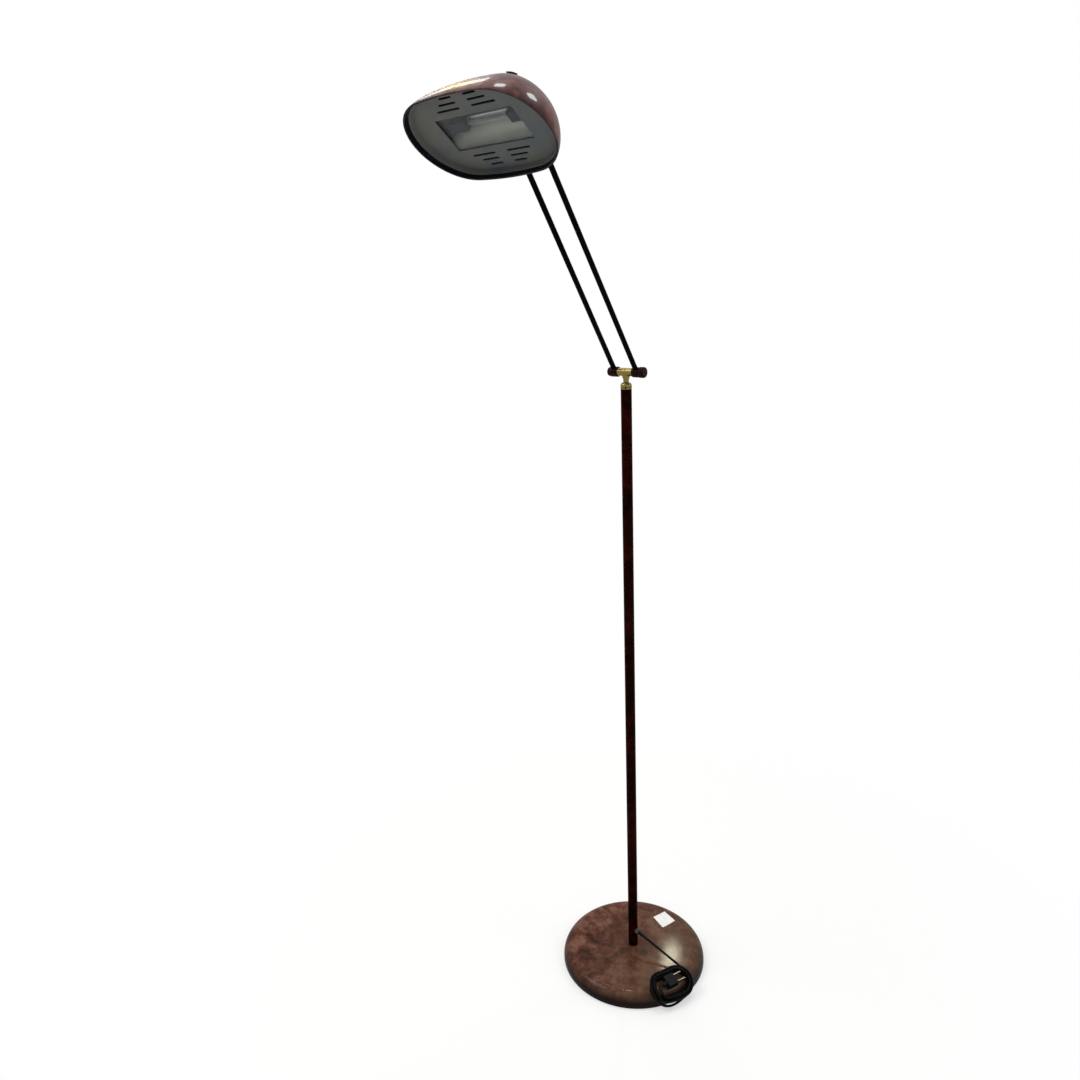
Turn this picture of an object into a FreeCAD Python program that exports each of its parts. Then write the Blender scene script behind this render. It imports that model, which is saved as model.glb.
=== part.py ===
import FreeCAD, Part
import math
import os
from types import SimpleNamespace

import Sketcher

# Reading floor lamp: a round weighted base, a pole in three sections, a brass
# knuckle that swivels and tilts a twin-rod arm, and an oval halogen head that
# tilts on a second knuckle.  Z is up, the origin is the middle of the base on
# the floor, X runs along the knuckle bars and the arm leans towards -Y.

# Driving sizes in millimetres and angles in degrees
SIZES = {
    # base
    "base_diameter": 250.0,
    "base_height": 26.0,
    "base_edge_radius": 20.0,
    "cover_thickness": 1.2,
    "foot_thickness": 1.5,
    "foot_outer_diameter": 230.0,
    "foot_ring_width": 15.0,
    "plate_thickness": 1.2,
    "plate_gap": 0.3,
    "weight_gap": 5.8,
    "weight_thickness": 13.0,
    "weight_hub_diameter": 50.0,
    "weight_edge_radius": 3.0,
    "recess_diameter": 26.0,
    "recess_depth": 8.0,
    "bolt_diameter": 8.0,
    "bolt_head_across": 13.0,
    "bolt_head_height": 5.3,
    "bolt_gap": 0.3,
    "washer_diameter": 22.0,
    "washer_thickness": 1.5,
    # pole
    "pole_diameter": 16.5,
    "pole_wall": 1.0,
    "seam_radius": 0.4,
    "coupler_length": 60.0,
    "coupler_wall": 1.5,
    "sleeve_gap": 0.1,
    "foot_plug_length": 20.0,
    "cap_diameter": 17.0,
    "cap_height": 10.0,
    "cap_round": 5.0,
    "cap_sink": 12.0,
    "grub_diameter": 3.0,
    "grub_height": 2.6,
    "grub_hex_diameter": 1.5,
    "grub_azimuth": 60.0,
    # knuckles
    "joint_height": 1042.0,
    "joint_above_pole": 25.0,
    "running_gap": 0.05,
    "face_gap": 0.3,
    "stem_diameter": 8.5,
    "stem_flare_height": 5.0,
    "spigot_diameter": 6.0,
    "swivel_washer_diameter": 13.0,
    "swivel_washer_thickness": 1.0,
    "swivel_nut_across": 10.0,
    "swivel_nut_height": 5.0,
    "hub_diameter": 12.0,
    "hub_length": 26.0,
    "barrel_diameter": 15.0,
    "barrel_length": 12.2,
    "barrel_edge_radius": 0.8,
    "pivot_diameter": 6.0,
    "pivot_head_diameter": 13.5,
    "pivot_head_height": 5.3,
    "knob_diameter": 16.0,
    "knob_length": 8.1,
    "knob_round": 2.4,
    # arm
    "arm_length": 350.0,
    "arm_angle": 55.3,
    "rod_diameter": 7.5,
    "rod_wall": 1.0,
    "rod_seat": 3.8,
    "rod_gap": 0.1,
    # head shell
    "head_tilt": 36.25,
    "pivot_behind_face": 76.1,
    "pivot_above_face": 38.4,
    "shell_half_width": 104.0,
    "shell_half_depth": 65.8,
    "shell_end_radius": 63.5,
    "shell_wall": 2.2,
    "shell_height": 79.2,
    "shell_lean": 15.0,
    "rim_drop": 13.2,
    "face_shift": 1.75,
    # head stem and switch
    "stem_angle": 23.0,
    "stem_reach": 19.4,
    "stem_bolt_reach": 30.0,
    "stem_hole_gap": 0.3,
    "stem_nut_across": 11.0,
    "stem_nut_height": 5.0,
    "stem_nut_start": 23.5,
    "switch_across": 36.0,
    "switch_ahead": 22.0,
    "switch_level": 50.2,
    "switch_lean_angle": 35.8,
    "switch_turn_angle": 66.4,
    "switch_collar_diameter": 13.0,
    "switch_collar_height": 1.2,
    "switch_body_diameter": 11.0,
    "switch_body_length": 16.0,
    "switch_button_diameter": 8.0,
    "switch_button_height": 4.2,
    "switch_travel": 1.5,
    # face tray
    "tray_gap": 0.4,
    "tray_thickness": 1.5,
    "tray_lip": 7.0,
    "tray_lip_wall": 1.6,
    "window_width": 119.0,
    "window_depth": 48.6,
    "slot_width": 3.0,
    "slot_pitch": 8.4,
    "slot_first_row": 35.0,
    "slot_inner_end": 9.0,
    "slot_length_long": 36.0,
    "slot_length_middle": 27.0,
    "slot_length_short": 19.5,
    "glass_thickness": 3.0,
    "glass_overlap": 2.0,
    "rib_wall": 1.5,
    "rib_height": 2.6,
    "boss_diameter": 7.0,
    "boss_across": 68.5,
    "boss_ahead": 18.0,
    # reflector and lamp
    "sheet_thickness": 0.8,
    "trough_radius": 25.0,
    "flange_width": 146.0,
    "flange_depth": 58.0,
    "screw_diameter": 3.0,
    "screw_head_diameter": 5.5,
    "screw_head_height": 2.0,
    "screw_length": 4.2,
    "lamp_level": 19.0,
    "lamp_tube_diameter": 10.0,
    "lamp_tube_length": 60.0,
    "lamp_end_diameter": 7.5,
    "lamp_end_length": 9.0,
    "holder_depth": 14.0,
    "holder_height": 16.0,
    "holder_bite": 5.0,
    "holder_gap": 0.3,
    # cord
    "cord_diameter": 4.0,
    "cord_clearance": 0.3,
    "layer_gap": 0.6,
    "turn_gap": 0.9,
    "exit_height": 57.0,
    "bushing_diameter": 10.0,
    "bushing_reach": 4.5,
    "bushing_neck": 7.0,
    "cord_azimuth": 1.5,
    "hank_half_run": 15.0,
    "hank_end_radius": 26.0,
    "hank_middle": 25.5,
    # plug
    "plug_shift": 4.0,
    "plug_width": 20.0,
    "plug_thickness": 11.0,
    "plug_length": 18.0,
    "plug_edge_radius": 2.0,
    "plug_neck_diameter": 7.0,
    "plug_neck_length": 4.0,
    "blade_width": 6.3,
    "blade_thickness": 1.5,
    "blade_length": 16.0,
    "blade_spacing": 12.7,
}

# The shell's side view, as shares: how full the dome is at each height share
DOME_HEIGHT_SHARES = (0.0, 0.1, 0.22, 0.36, 0.51, 0.66, 0.79, 0.89, 0.96, 0.99)
DOME_RISE_SHARE = 1.42
DOME_BELLY_SHARE = 2.17

POLE_SECTIONS = 3
TURNS_PER_LAYER = 2
LAYERS = 3
LAST_TURN_SHARE = 0.375
BEND_STEPS = 4
RUN_STEPS = 2

doc = FreeCAD.newDocument("FloorLamp")
sheet = doc.addObject("Spreadsheet::Sheet", "Sizes")
for line, (alias, value) in enumerate(SIZES.items(), start=1):
    sheet.set(f"A{line}", alias)
    sheet.set(f"B{line}", str(value))
    sheet.setAlias(f"B{line}", alias)
doc.recompute()

nodes = {}


# Sizes that carry both their number and the expression that binds them
class Size:
    """A length or angle worked out from the sheet."""

    def __init__(self, number, text):
        self.number = number
        self.text = text

    def __add__(self, other):
        return Size(self.number + amount(other), f"({self.text} + {words(other)})")

    def __sub__(self, other):
        return Size(self.number - amount(other), f"({self.text} - {words(other)})")

    def __mul__(self, other):
        return Size(self.number * amount(other), f"({self.text} * {words(other)})")

    def __truediv__(self, other):
        return Size(self.number / amount(other), f"({self.text} / {words(other)})")

    def __neg__(self):
        return Size(-self.number, f"(0 - {self.text})")


def amount(size):
    """The number behind a size or a plain number."""
    return size.number if isinstance(size, Size) else float(size)


def words(size):
    """The expression behind a size or a plain number."""
    return size.text if isinstance(size, Size) else f"{size:.9f}"


def cosine(angle):
    return Size(math.cos(math.radians(angle.number)), f"cos({angle.text})")


def sine(angle):
    return Size(math.sin(math.radians(angle.number)), f"sin({angle.text})")


S = SimpleNamespace(**{alias: Size(value, f"Sizes.{alias}") for alias, value in SIZES.items()})


# Shared ways of making and placing pieces
def place(piece, x=0, y=0, z=0, axis=(0, 0, 1), angle=0):
    """Put a piece in the lamp's frame, with its place bound to the sheet."""
    spot = FreeCAD.Vector(amount(x), amount(y), amount(z))
    turn = FreeCAD.Rotation(FreeCAD.Vector(*axis), amount(angle))
    piece.Placement = FreeCAD.Placement(spot, turn)
    for letter, size in (("x", x), ("y", y), ("z", z)):
        if isinstance(size, Size):
            piece.setExpression(f"Placement.Base.{letter}", size.text)
    if isinstance(angle, Size):
        piece.setExpression("Placement.Rotation.Angle", angle.text)
    return piece


def keep(piece, name):
    """Name a finished piece, so that it is written out as a node."""
    piece.Label = name
    nodes[name] = piece
    return piece


def new_body(name):
    return doc.addObject("PartDesign::Body", name)


def new_sketch(body, name, role, lift=None):
    """Start a sketch on one of the body's own planes, lifted off it if asked."""
    sketch = body.newObject("Sketcher::SketchObject", name)
    plane = next(feature for feature in body.Origin.OriginFeatures if feature.Role == role)
    sketch.AttachmentSupport = (plane, [""])
    sketch.MapMode = "FlatFace"
    if lift is not None:
        sketch.AttachmentOffset = FreeCAD.Placement(
            FreeCAD.Vector(0, 0, amount(lift)), FreeCAD.Rotation()
        )
        sketch.setExpression("AttachmentOffset.Base.z", words(lift))
    return sketch


def pin(sketch, kind, spots, size):
    """Hold a distance or a radius of a sketch at a size."""
    number = sketch.addConstraint(Sketcher.Constraint(kind, *spots, amount(size)))
    sketch.setExpression(f"Constraints[{number}]", words(size))


def pin_point(sketch, edge, end, across, up):
    """Hold one point of a sketch at a place measured from its origin."""
    if amount(across) == 0:
        sketch.addConstraint(Sketcher.Constraint("PointOnObject", edge, end, -2))
    else:
        pin(sketch, "DistanceX", (-1, 1, edge, end), across)
    if amount(up) == 0:
        sketch.addConstraint(Sketcher.Constraint("PointOnObject", edge, end, -1))
    else:
        pin(sketch, "DistanceY", (-1, 1, edge, end), up)


def draw_polygon(sketch, corners):
    """Draw a closed outline of straight lines through corners."""
    first = sketch.GeometryCount
    points = [FreeCAD.Vector(amount(across), amount(up), 0) for across, up in corners]
    for start, end in zip(points, points[1:] + points[:1]):
        sketch.addGeometry(Part.LineSegment(start, end))
    for step in range(len(points)):
        after = first + (step + 1) % len(points)
        sketch.addConstraint(Sketcher.Constraint("Coincident", first + step, 2, after, 1))
    for step, (across, up) in enumerate(corners):
        pin_point(sketch, first + step, 1, across, up)


def draw_box(sketch, width, depth):
    """Draw a rectangle about the sketch's origin."""
    across, up = width / 2, depth / 2
    draw_polygon(sketch, ((-across, -up), (across, -up), (across, up), (-across, up)))


def draw_circle(sketch, across, up, radius):
    centre = FreeCAD.Vector(amount(across), amount(up), 0)
    edge = sketch.addGeometry(Part.Circle(centre, FreeCAD.Vector(0, 0, 1), amount(radius)))
    pin_point(sketch, edge, 3, across, up)
    pin(sketch, "Radius", (edge,), radius)


def arc(across, up, radius, start, end):
    """An arc of a sketch, anticlockwise between two angles in radians."""
    centre = FreeCAD.Vector(across, up, 0)
    circle = Part.Circle(centre, FreeCAD.Vector(0, 0, 1), radius)
    return Part.ArcOfCircle(circle, start, end)


def draw_slot(sketch, start, end, up, width):
    """Draw a slot with round ends whose end centres lie at start and end."""
    radius = amount(width) / 2
    left, right, level = amount(start), amount(end), amount(up)
    first = sketch.GeometryCount
    quarter = math.pi / 2
    sketch.addGeometry(arc(right, level, radius, -quarter, quarter))
    sketch.addGeometry(Part.LineSegment(
        FreeCAD.Vector(right, level + radius, 0), FreeCAD.Vector(left, level + radius, 0)
    ))
    sketch.addGeometry(arc(left, level, radius, quarter, 3 * quarter))
    sketch.addGeometry(Part.LineSegment(
        FreeCAD.Vector(left, level - radius, 0), FreeCAD.Vector(right, level - radius, 0)
    ))
    for step in range(4):
        after = first + (step + 1) % 4
        sketch.addConstraint(Sketcher.Constraint("Tangent", first + step, 2, after, 1))
    pin_point(sketch, first, 3, end, up)
    pin_point(sketch, first + 2, 3, start, up)
    pin(sketch, "Radius", (first,), width / 2)


def draw_oval(sketch, share, trim, shift):
    """Draw the head's oval: two round ends joined by two long, slightly bowed arcs."""
    half_run = (S.shell_half_width - S.shell_end_radius) * share
    end_radius = S.shell_end_radius * share - trim
    half_depth = S.shell_half_depth * share - trim
    rise = half_depth - end_radius
    side_radius = (half_run * half_run + rise * rise) / (rise * 2) + end_radius
    run, radius, side = amount(half_run), amount(end_radius), amount(side_radius)
    sink = side - amount(half_depth)
    level = amount(shift)
    turn = math.atan2(sink, run)
    first = sketch.GeometryCount
    sketch.addGeometry(arc(run, level, radius, -turn, turn))
    sketch.addGeometry(arc(0, level - sink, side, turn, math.pi - turn))
    sketch.addGeometry(arc(-run, level, radius, math.pi - turn, math.pi + turn))
    sketch.addGeometry(arc(0, level + sink, side, math.pi + turn, 2 * math.pi - turn))
    for step in range(4):
        after = first + (step + 1) % 4
        sketch.addConstraint(Sketcher.Constraint("Tangent", first + step, 2, after, 1))
    pin_point(sketch, first, 3, half_run, shift)
    pin_point(sketch, first + 2, 3, -half_run, shift)
    pin(sketch, "Radius", (first,), end_radius)
    pin(sketch, "Radius", (first + 2,), end_radius)
    pin(sketch, "Radius", (first + 1,), side_radius)
    pin(sketch, "Radius", (first + 3,), side_radius)


def pad(body, sketch, length, both_ways=False):
    feature = body.newObject("PartDesign::Pad", f"{body.Name}_pad")
    feature.Profile = sketch
    feature.setExpression("Length", words(length))
    feature.Length = amount(length)
    feature.Midplane = both_ways
    return feature


def pocket(body, sketch, depth, down=True, both_ways=False):
    """Cut a sketch into a body, down its plane's normal or up along it."""
    feature = body.newObject("PartDesign::Pocket", f"{body.Name}_pocket")
    feature.Profile = sketch
    feature.setExpression("Length", words(depth))
    feature.Length = amount(depth)
    feature.Reversed = not down
    feature.Midplane = both_ways
    return feature


def ring_edges(shape, rings):
    """Names of the full circular edges at the given (radius, height) pairs."""
    names = []
    for number, edge in enumerate(shape.Edges, start=1):
        curve = edge.Curve
        if not isinstance(curve, Part.Circle) or not edge.Closed:
            continue
        for radius, height in rings:
            same_radius = math.isclose(curve.Radius, amount(radius), rel_tol=1e-6)
            same_height = abs(curve.Center.z - amount(height)) < amount(radius) * 1e-6
            if same_radius and same_height:
                names.append(f"Edge{number}")
    return names


def round_rings(body, feature, rings, radius):
    """Round the circular edges at the given (radius, height) pairs."""
    doc.recompute()
    fillet = body.newObject("PartDesign::Fillet", f"{body.Name}_round")
    fillet.Base = (feature, ring_edges(feature.Shape, rings))
    fillet.Radius = amount(radius)
    fillet.setExpression("Radius", words(radius))
    return fillet


def turned(name, corners):
    """A body turned about its own Z axis from (radius, height) corners."""
    body = new_body(name)
    sketch = new_sketch(body, f"{name}_profile", "XZ_Plane")
    draw_polygon(sketch, corners)
    feature = body.newObject("PartDesign::Revolution", f"{name}_turn")
    feature.Profile = sketch
    feature.ReferenceAxis = (sketch, ["V_Axis"])
    feature.Angle = 360
    return body


def ring(name, outer, inner, bottom, top):
    """A turned ring or washer, from two diameters and two heights."""
    corners = ((inner / 2, bottom), (outer / 2, bottom), (outer / 2, top), (inner / 2, top))
    return turned(name, corners)


def cylinder(name, diameter, length):
    piece = doc.addObject("Part::Cylinder", name)
    piece.Radius = amount(diameter) / 2
    piece.setExpression("Radius", words(diameter / 2))
    piece.Height = amount(length)
    piece.setExpression("Height", words(length))
    return piece


def hexagon(name, across, height):
    """A hexagonal prism, from its size across flats."""
    piece = doc.addObject("Part::Prism", name)
    corner = across / math.sqrt(3)
    piece.Polygon = 6
    piece.Circumradius = amount(corner)
    piece.setExpression("Circumradius", words(corner))
    piece.Height = amount(height)
    piece.setExpression("Height", words(height))
    return piece


def block(name, width, depth, height):
    """A box about its own middle in X and Y, standing on its own Z zero."""
    body = new_body(name)
    sketch = new_sketch(body, f"{name}_outline", "XY_Plane")
    draw_box(sketch, width, depth)
    pad(body, sketch, height)
    return body


def cut(name, piece, tool):
    result = doc.addObject("Part::Cut", name)
    result.Base = piece
    result.Tool = tool
    return result


def fuse(name, pieces):
    result = doc.addObject("Part::MultiFuse", name)
    result.Shapes = pieces
    return result


# Places along the arm and in the head's own frame
def along_arm(distance):
    """Y and Z of a point on the arm's middle line, measured from the lower pivot."""
    y = -(distance * cosine(S.arm_angle))
    z = S.joint_height + distance * sine(S.arm_angle)
    return y, z


def in_head(back, level):
    """Y and Z of a point given behind and above the middle of the window."""
    pivot_y, pivot_z = along_arm(S.arm_length)
    far_back = back - S.pivot_behind_face
    far_up = level - S.pivot_above_face
    y = pivot_y + far_back * cosine(S.head_tilt) + far_up * sine(S.head_tilt)
    z = pivot_z - far_back * sine(S.head_tilt) + far_up * cosine(S.head_tilt)
    return y, z


ZERO = S.base_height - S.base_height
POLE_TOP = S.joint_height - S.joint_above_pole
HEAD_Y, HEAD_Z = in_head(ZERO, ZERO)
TIP_BACK = (-1, 0, 0)


def place_in_head(piece, x=0, back=None, level=None):
    """Put a piece in the head's own frame: X along the bar, Y back, Z up out of the face."""
    y, z = in_head(ZERO if back is None else back, ZERO if level is None else level)
    return place(piece, x, y, z, TIP_BACK, S.head_tilt)


# Base
def build_base():
    cover_bottom = S.foot_thickness
    cover_inner = S.base_height - S.cover_thickness
    outside = S.base_diameter / 2
    inside = outside - S.cover_thickness
    hole = S.bolt_diameter / 2 + S.bolt_gap

    cover = turned("base_cover", (
        (hole, cover_inner),
        (inside, cover_inner),
        (inside, cover_bottom),
        (outside, cover_bottom),
        (outside, S.base_height),
        (hole, S.base_height),
    ))
    outer = round_rings(cover, cover.Tip, ((outside, S.base_height),), S.base_edge_radius)
    inner_round = S.base_edge_radius - S.cover_thickness
    round_rings(cover, outer, ((inside, cover_inner),), inner_round)
    keep(cover, "base_cover")

    plate_top = S.foot_thickness + S.plate_thickness
    plate_width = S.base_diameter - S.cover_thickness * 2 - S.plate_gap * 2
    plate = ring("base_plate", plate_width, S.recess_diameter, S.foot_thickness, plate_top)
    keep(plate, "base_plate")
    foot_inner = S.foot_outer_diameter - S.foot_ring_width * 2
    foot = ring("foot_ring", S.foot_outer_diameter, foot_inner, ZERO, S.foot_thickness)
    keep(foot, "foot_ring")

    recess_top = plate_top + S.recess_depth
    slab_top = plate_top + S.weight_thickness
    slab_radius = inside - S.weight_gap
    weight = turned("base_weight", (
        (S.recess_diameter / 2, plate_top),
        (slab_radius, plate_top),
        (slab_radius, slab_top),
        (S.weight_hub_diameter / 2, slab_top),
        (S.weight_hub_diameter / 2, cover_inner),
        (hole, cover_inner),
        (hole, recess_top),
        (S.recess_diameter / 2, recess_top),
    ))
    rim = ((slab_radius, slab_top),)
    round_rings(weight, weight.Tip, rim, S.weight_edge_radius)
    keep(weight, "base_weight")

    washer_bottom = recess_top - S.washer_thickness
    washer_hole = S.bolt_diameter + S.bolt_gap * 2
    washer = ring("base_washer", S.washer_diameter, washer_hole, washer_bottom, recess_top)
    keep(washer, "base_washer")
    shank_top = S.base_height + S.foot_plug_length
    head = place(
        hexagon("base_bolt_head", S.bolt_head_across, S.bolt_head_height),
        z=washer_bottom - S.bolt_head_height,
    )
    shank = place(
        cylinder("base_bolt_shank", S.bolt_diameter, shank_top - washer_bottom),
        z=washer_bottom,
    )
    keep(fuse("base_bolt", [head, shank]), "base_bolt")


# Pole
def build_pole():
    bore = S.pole_diameter - S.pole_wall * 2
    section = (POLE_TOP - S.base_height) / POLE_SECTIONS
    names = ("pole_lower", "pole_middle", "pole_upper")
    for number, name in enumerate(names):
        bottom = S.base_height + section * number
        tube = ring(f"{name}_tube", S.pole_diameter, bore, bottom, bottom + section)
        radius = S.pole_diameter / 2
        round_rings(tube, tube.Tip, ((radius, bottom + section),), S.seam_radius)
        if number == 0:
            hole_width = S.bushing_neck + S.sleeve_gap * 2
            drill = cylinder("cord_hole", hole_width, S.pole_diameter)
            along_cord(drill, -S.pole_diameter / 4)
            tube = cut(name, tube, drill)
        keep(tube, name)
        if number:
            sleeve = ring(
                f"pole_coupler_{number}",
                bore - S.sleeve_gap * 2,
                bore - S.sleeve_gap * 2 - S.coupler_wall * 2,
                bottom - S.coupler_length / 2,
                bottom + S.coupler_length / 2,
            )
            keep(sleeve, f"pole_coupler_{number}")

    foot_top = S.base_height + S.foot_plug_length
    plug_width = bore - S.sleeve_gap * 2
    plug_hole = S.bolt_diameter + S.running_gap * 2
    keep(ring("pole_foot_plug", plug_width, plug_hole, S.base_height, foot_top), "pole_foot_plug")

    cap_top = POLE_TOP + S.cap_height
    cap_bottom = POLE_TOP - S.cap_sink
    hole = S.spigot_diameter / 2 + S.running_gap
    cap = turned("pole_cap_form", (
        (hole, cap_bottom),
        (plug_width / 2, cap_bottom),
        (plug_width / 2, POLE_TOP),
        (S.cap_diameter / 2, POLE_TOP),
        (S.cap_diameter / 2, cap_top),
        (hole, cap_top),
    ))
    round_rings(cap, cap.Tip, ((S.cap_diameter / 2, cap_top),), S.cap_round)
    grub_depth = S.cap_diameter / 2 - hole - S.face_gap
    grub_level = POLE_TOP + S.grub_height
    grub_start = hole + S.face_gap
    away = (cosine(S.grub_azimuth), -sine(S.grub_azimuth))
    outward = FreeCAD.Vector(away[0].number, away[1].number, 0)

    def aim(piece, start):
        piece.Placement = FreeCAD.Placement(
            FreeCAD.Vector(*(amount(start * side) for side in away), amount(grub_level)),
            FreeCAD.Rotation(FreeCAD.Vector(0, 0, 1), outward),
        )
        return piece

    hole_for_grub = aim(cylinder("grub_hole", S.grub_diameter, S.cap_diameter), grub_start)
    keep(cut("pole_cap", cap, hole_for_grub), "pole_cap")
    key_depth = grub_depth / 2
    thread_width = S.grub_diameter - S.running_gap * 2
    grub = aim(cylinder("grub_form", thread_width, grub_depth - S.face_gap), grub_start)
    key = aim(hexagon("grub_key", S.grub_hex_diameter, grub_depth), grub_start + key_depth)
    keep(cut("cap_grub_screw", grub, key), "cap_grub_screw")


# Brass swivel on the pole
def build_swivel():
    stem_bottom = POLE_TOP + S.cap_height + S.face_gap
    hub_bottom = S.joint_height - S.hub_diameter / 2
    spigot = S.spigot_diameter / 2
    washer_top = POLE_TOP - S.cap_sink - S.face_gap
    nut_top = washer_top - S.swivel_washer_thickness
    nut_bottom = nut_top - S.swivel_nut_height
    stem = turned("swivel_stem", (
        (0, nut_bottom),
        (spigot, nut_bottom),
        (spigot, stem_bottom),
        (S.stem_diameter / 2, stem_bottom),
        (S.stem_diameter / 2, hub_bottom - S.stem_flare_height),
        (S.hub_diameter / 2, hub_bottom),
        (S.hub_diameter / 2, S.joint_height),
        (0, S.joint_height),
    ))
    keep(bored_hub("swivel_hub", stem, ZERO), "swivel_hub")

    loose = S.spigot_diameter + S.running_gap * 2
    washer = ring("swivel_washer", S.swivel_washer_diameter, loose, nut_top, washer_top)
    keep(washer, "swivel_washer")
    prism = hexagon("swivel_nut_form", S.swivel_nut_across, S.swivel_nut_height)
    place(prism, z=nut_bottom)
    thread = place(cylinder("swivel_nut_thread", loose, S.swivel_nut_height), z=nut_bottom)
    keep(cut("swivel_nut", prism, thread), "swivel_nut")


def bored_hub(name, stem, distance):
    """A stem fused to a cross tube on a knuckle's axis, bored for the pivot bolt."""
    y, z = along_arm(distance)
    tube = across_bar(cylinder(f"{name}_tube", S.hub_diameter, S.hub_length), -S.hub_length / 2, y, z)
    width = S.pivot_diameter + S.running_gap * 2
    bore = across_bar(cylinder(f"{name}_bore", width, S.hub_length), -S.hub_length / 2, y, z)
    return cut(name, fuse(f"{name}_form", [stem, tube]), bore)


def across_bar(piece, x, y, z):
    """Lay a piece that was made along Z on a knuckle's axis, from x towards +X."""
    return place(piece, x, y, z, (0, 1, 0), 90)


def on_arm(piece, x, distance):
    """Stand a piece that was made along Z on the arm's line at a distance up it."""
    y, z = along_arm(distance)
    piece.Placement = FreeCAD.Placement(
        FreeCAD.Vector(amount(x), amount(y), amount(z)),
        FreeCAD.Rotation(FreeCAD.Vector(1, 0, 0), 90 - amount(S.arm_angle)),
    )
    piece.setExpression("Placement.Base.y", y.text)
    piece.setExpression("Placement.Base.z", z.text)
    piece.setExpression("Placement.Rotation.Angle", words(Size(90, "90") - S.arm_angle))
    return piece


# Arm and the two knuckles that it joins
def build_knuckle(prefix, distance, upward):
    """The barrels, pivot bolt and knob of one knuckle, on the arm's side of it."""
    y, z = along_arm(distance)
    bore = S.pivot_diameter + S.running_gap * 2
    inner_face = S.hub_length / 2 + S.running_gap
    socket_width = S.rod_diameter + S.rod_gap * 2
    middle = inner_face + S.barrel_length / 2
    for side, name in ((-1, "left"), (1, "right")):
        form = ring(f"{prefix}_barrel_{name}_form", S.barrel_diameter, bore, 0, S.barrel_length)
        edge = S.barrel_diameter / 2
        rings = ((edge, 0), (edge, S.barrel_length))
        round_rings(form, form.Tip, rings, S.barrel_edge_radius)
        start = inner_face if side > 0 else -inner_face - S.barrel_length
        across_bar(form, start, y, z)
        socket = cylinder(f"{prefix}_socket_{name}", socket_width, S.barrel_diameter)
        if upward:
            on_arm(socket, middle * side, S.rod_seat)
        else:
            on_arm(socket, middle * side, distance - S.rod_seat - S.barrel_diameter)
        keep(cut(f"{prefix}_barrel_{name}", form, socket), f"{prefix}_barrel_{name}")

    outer_face = inner_face + S.barrel_length
    shaft = S.pivot_diameter / 2
    knob_start = outer_face + S.face_gap
    bolt_tip = knob_start + S.knob_length / 2
    bolt = turned(f"{prefix}_pivot_bolt", (
        (0, 0),
        (S.pivot_head_diameter / 2, 0),
        (S.pivot_head_diameter / 2, S.pivot_head_height),
        (shaft, S.pivot_head_height),
        (shaft, S.pivot_head_height + outer_face + bolt_tip),
        (0, S.pivot_head_height + outer_face + bolt_tip),
    ))
    head_edge = ((S.pivot_head_diameter / 2, 0),)
    round_rings(bolt, bolt.Tip, head_edge, S.knob_round)
    across_bar(bolt, -outer_face - S.pivot_head_height, y, z)
    keep(bolt, f"{prefix}_pivot_bolt")

    knob = turned(f"{prefix}_knob", (
        (bore / 2, 0),
        (S.knob_diameter / 2, 0),
        (S.knob_diameter / 2, S.knob_length),
        (0, S.knob_length),
        (0, S.knob_length / 2 + S.face_gap),
        (bore / 2, S.knob_length / 2 + S.face_gap),
    ))
    knob_edge = ((S.knob_diameter / 2, S.knob_length),)
    round_rings(knob, knob.Tip, knob_edge, S.knob_round)
    across_bar(knob, knob_start, y, z)
    keep(knob, f"{prefix}_knob")


def build_arm():
    build_knuckle("arm", ZERO, True)
    build_knuckle("head", S.arm_length, False)
    middle = S.hub_length / 2 + S.running_gap + S.barrel_length / 2
    length = S.arm_length - S.rod_seat * 2
    for side, name in ((-1, "left"), (1, "right")):
        rod = ring(f"arm_rod_{name}", S.rod_diameter, S.rod_diameter - S.rod_wall * 2, 0, length)
        on_arm(rod, middle * side, S.rod_seat)
        keep(rod, f"arm_rod_{name}")


# Head shell and what joins it to the upper knuckle
def fullness(height_share):
    """The dome's size at a share of its height, as a share of its rim."""
    return (1 - height_share ** DOME_RISE_SHARE) ** (1 / DOME_BELLY_SHARE)


def oval_loft(body, kind, name, stations, trim):
    """Loft ovals through (level, fullness share, height share) stations."""
    sketches = []
    for number, (level, share, height_share) in enumerate(stations):
        sketch = new_sketch(body, f"{name}_{number}", "XY_Plane", level)
        draw_oval(sketch, share, trim, S.shell_lean * height_share - S.face_shift)
        sketches.append(sketch)
    loft = body.newObject(kind, name)
    loft.Profile = sketches[0]
    loft.Sections = sketches[1:]
    loft.Ruled = len(stations) == 2
    return loft


def dome_stations(height):
    """Where the dome's ovals lie, for the outside or for the lower inside."""
    return [
        (height * share - S.rim_drop, fullness(share), share) for share in DOME_HEIGHT_SHARES
    ]


def head_stem(piece, start):
    """Lay a piece that was made along Z on the head's stem, at a distance from the pivot."""
    y, z = along_arm(S.arm_length)
    rise = S.head_tilt - S.stem_angle
    piece.Placement = FreeCAD.Placement(
        FreeCAD.Vector(
            0,
            amount(y - start * cosine(rise)),
            amount(z + start * sine(rise)),
        ),
        FreeCAD.Rotation(FreeCAD.Vector(1, 0, 0), 90 - amount(rise)),
    )
    piece.setExpression("Placement.Base.y", words(y - start * cosine(rise)))
    piece.setExpression("Placement.Base.z", words(z + start * sine(rise)))
    piece.setExpression("Placement.Rotation.Angle", words(Size(90, "90") - rise))
    return piece


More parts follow.
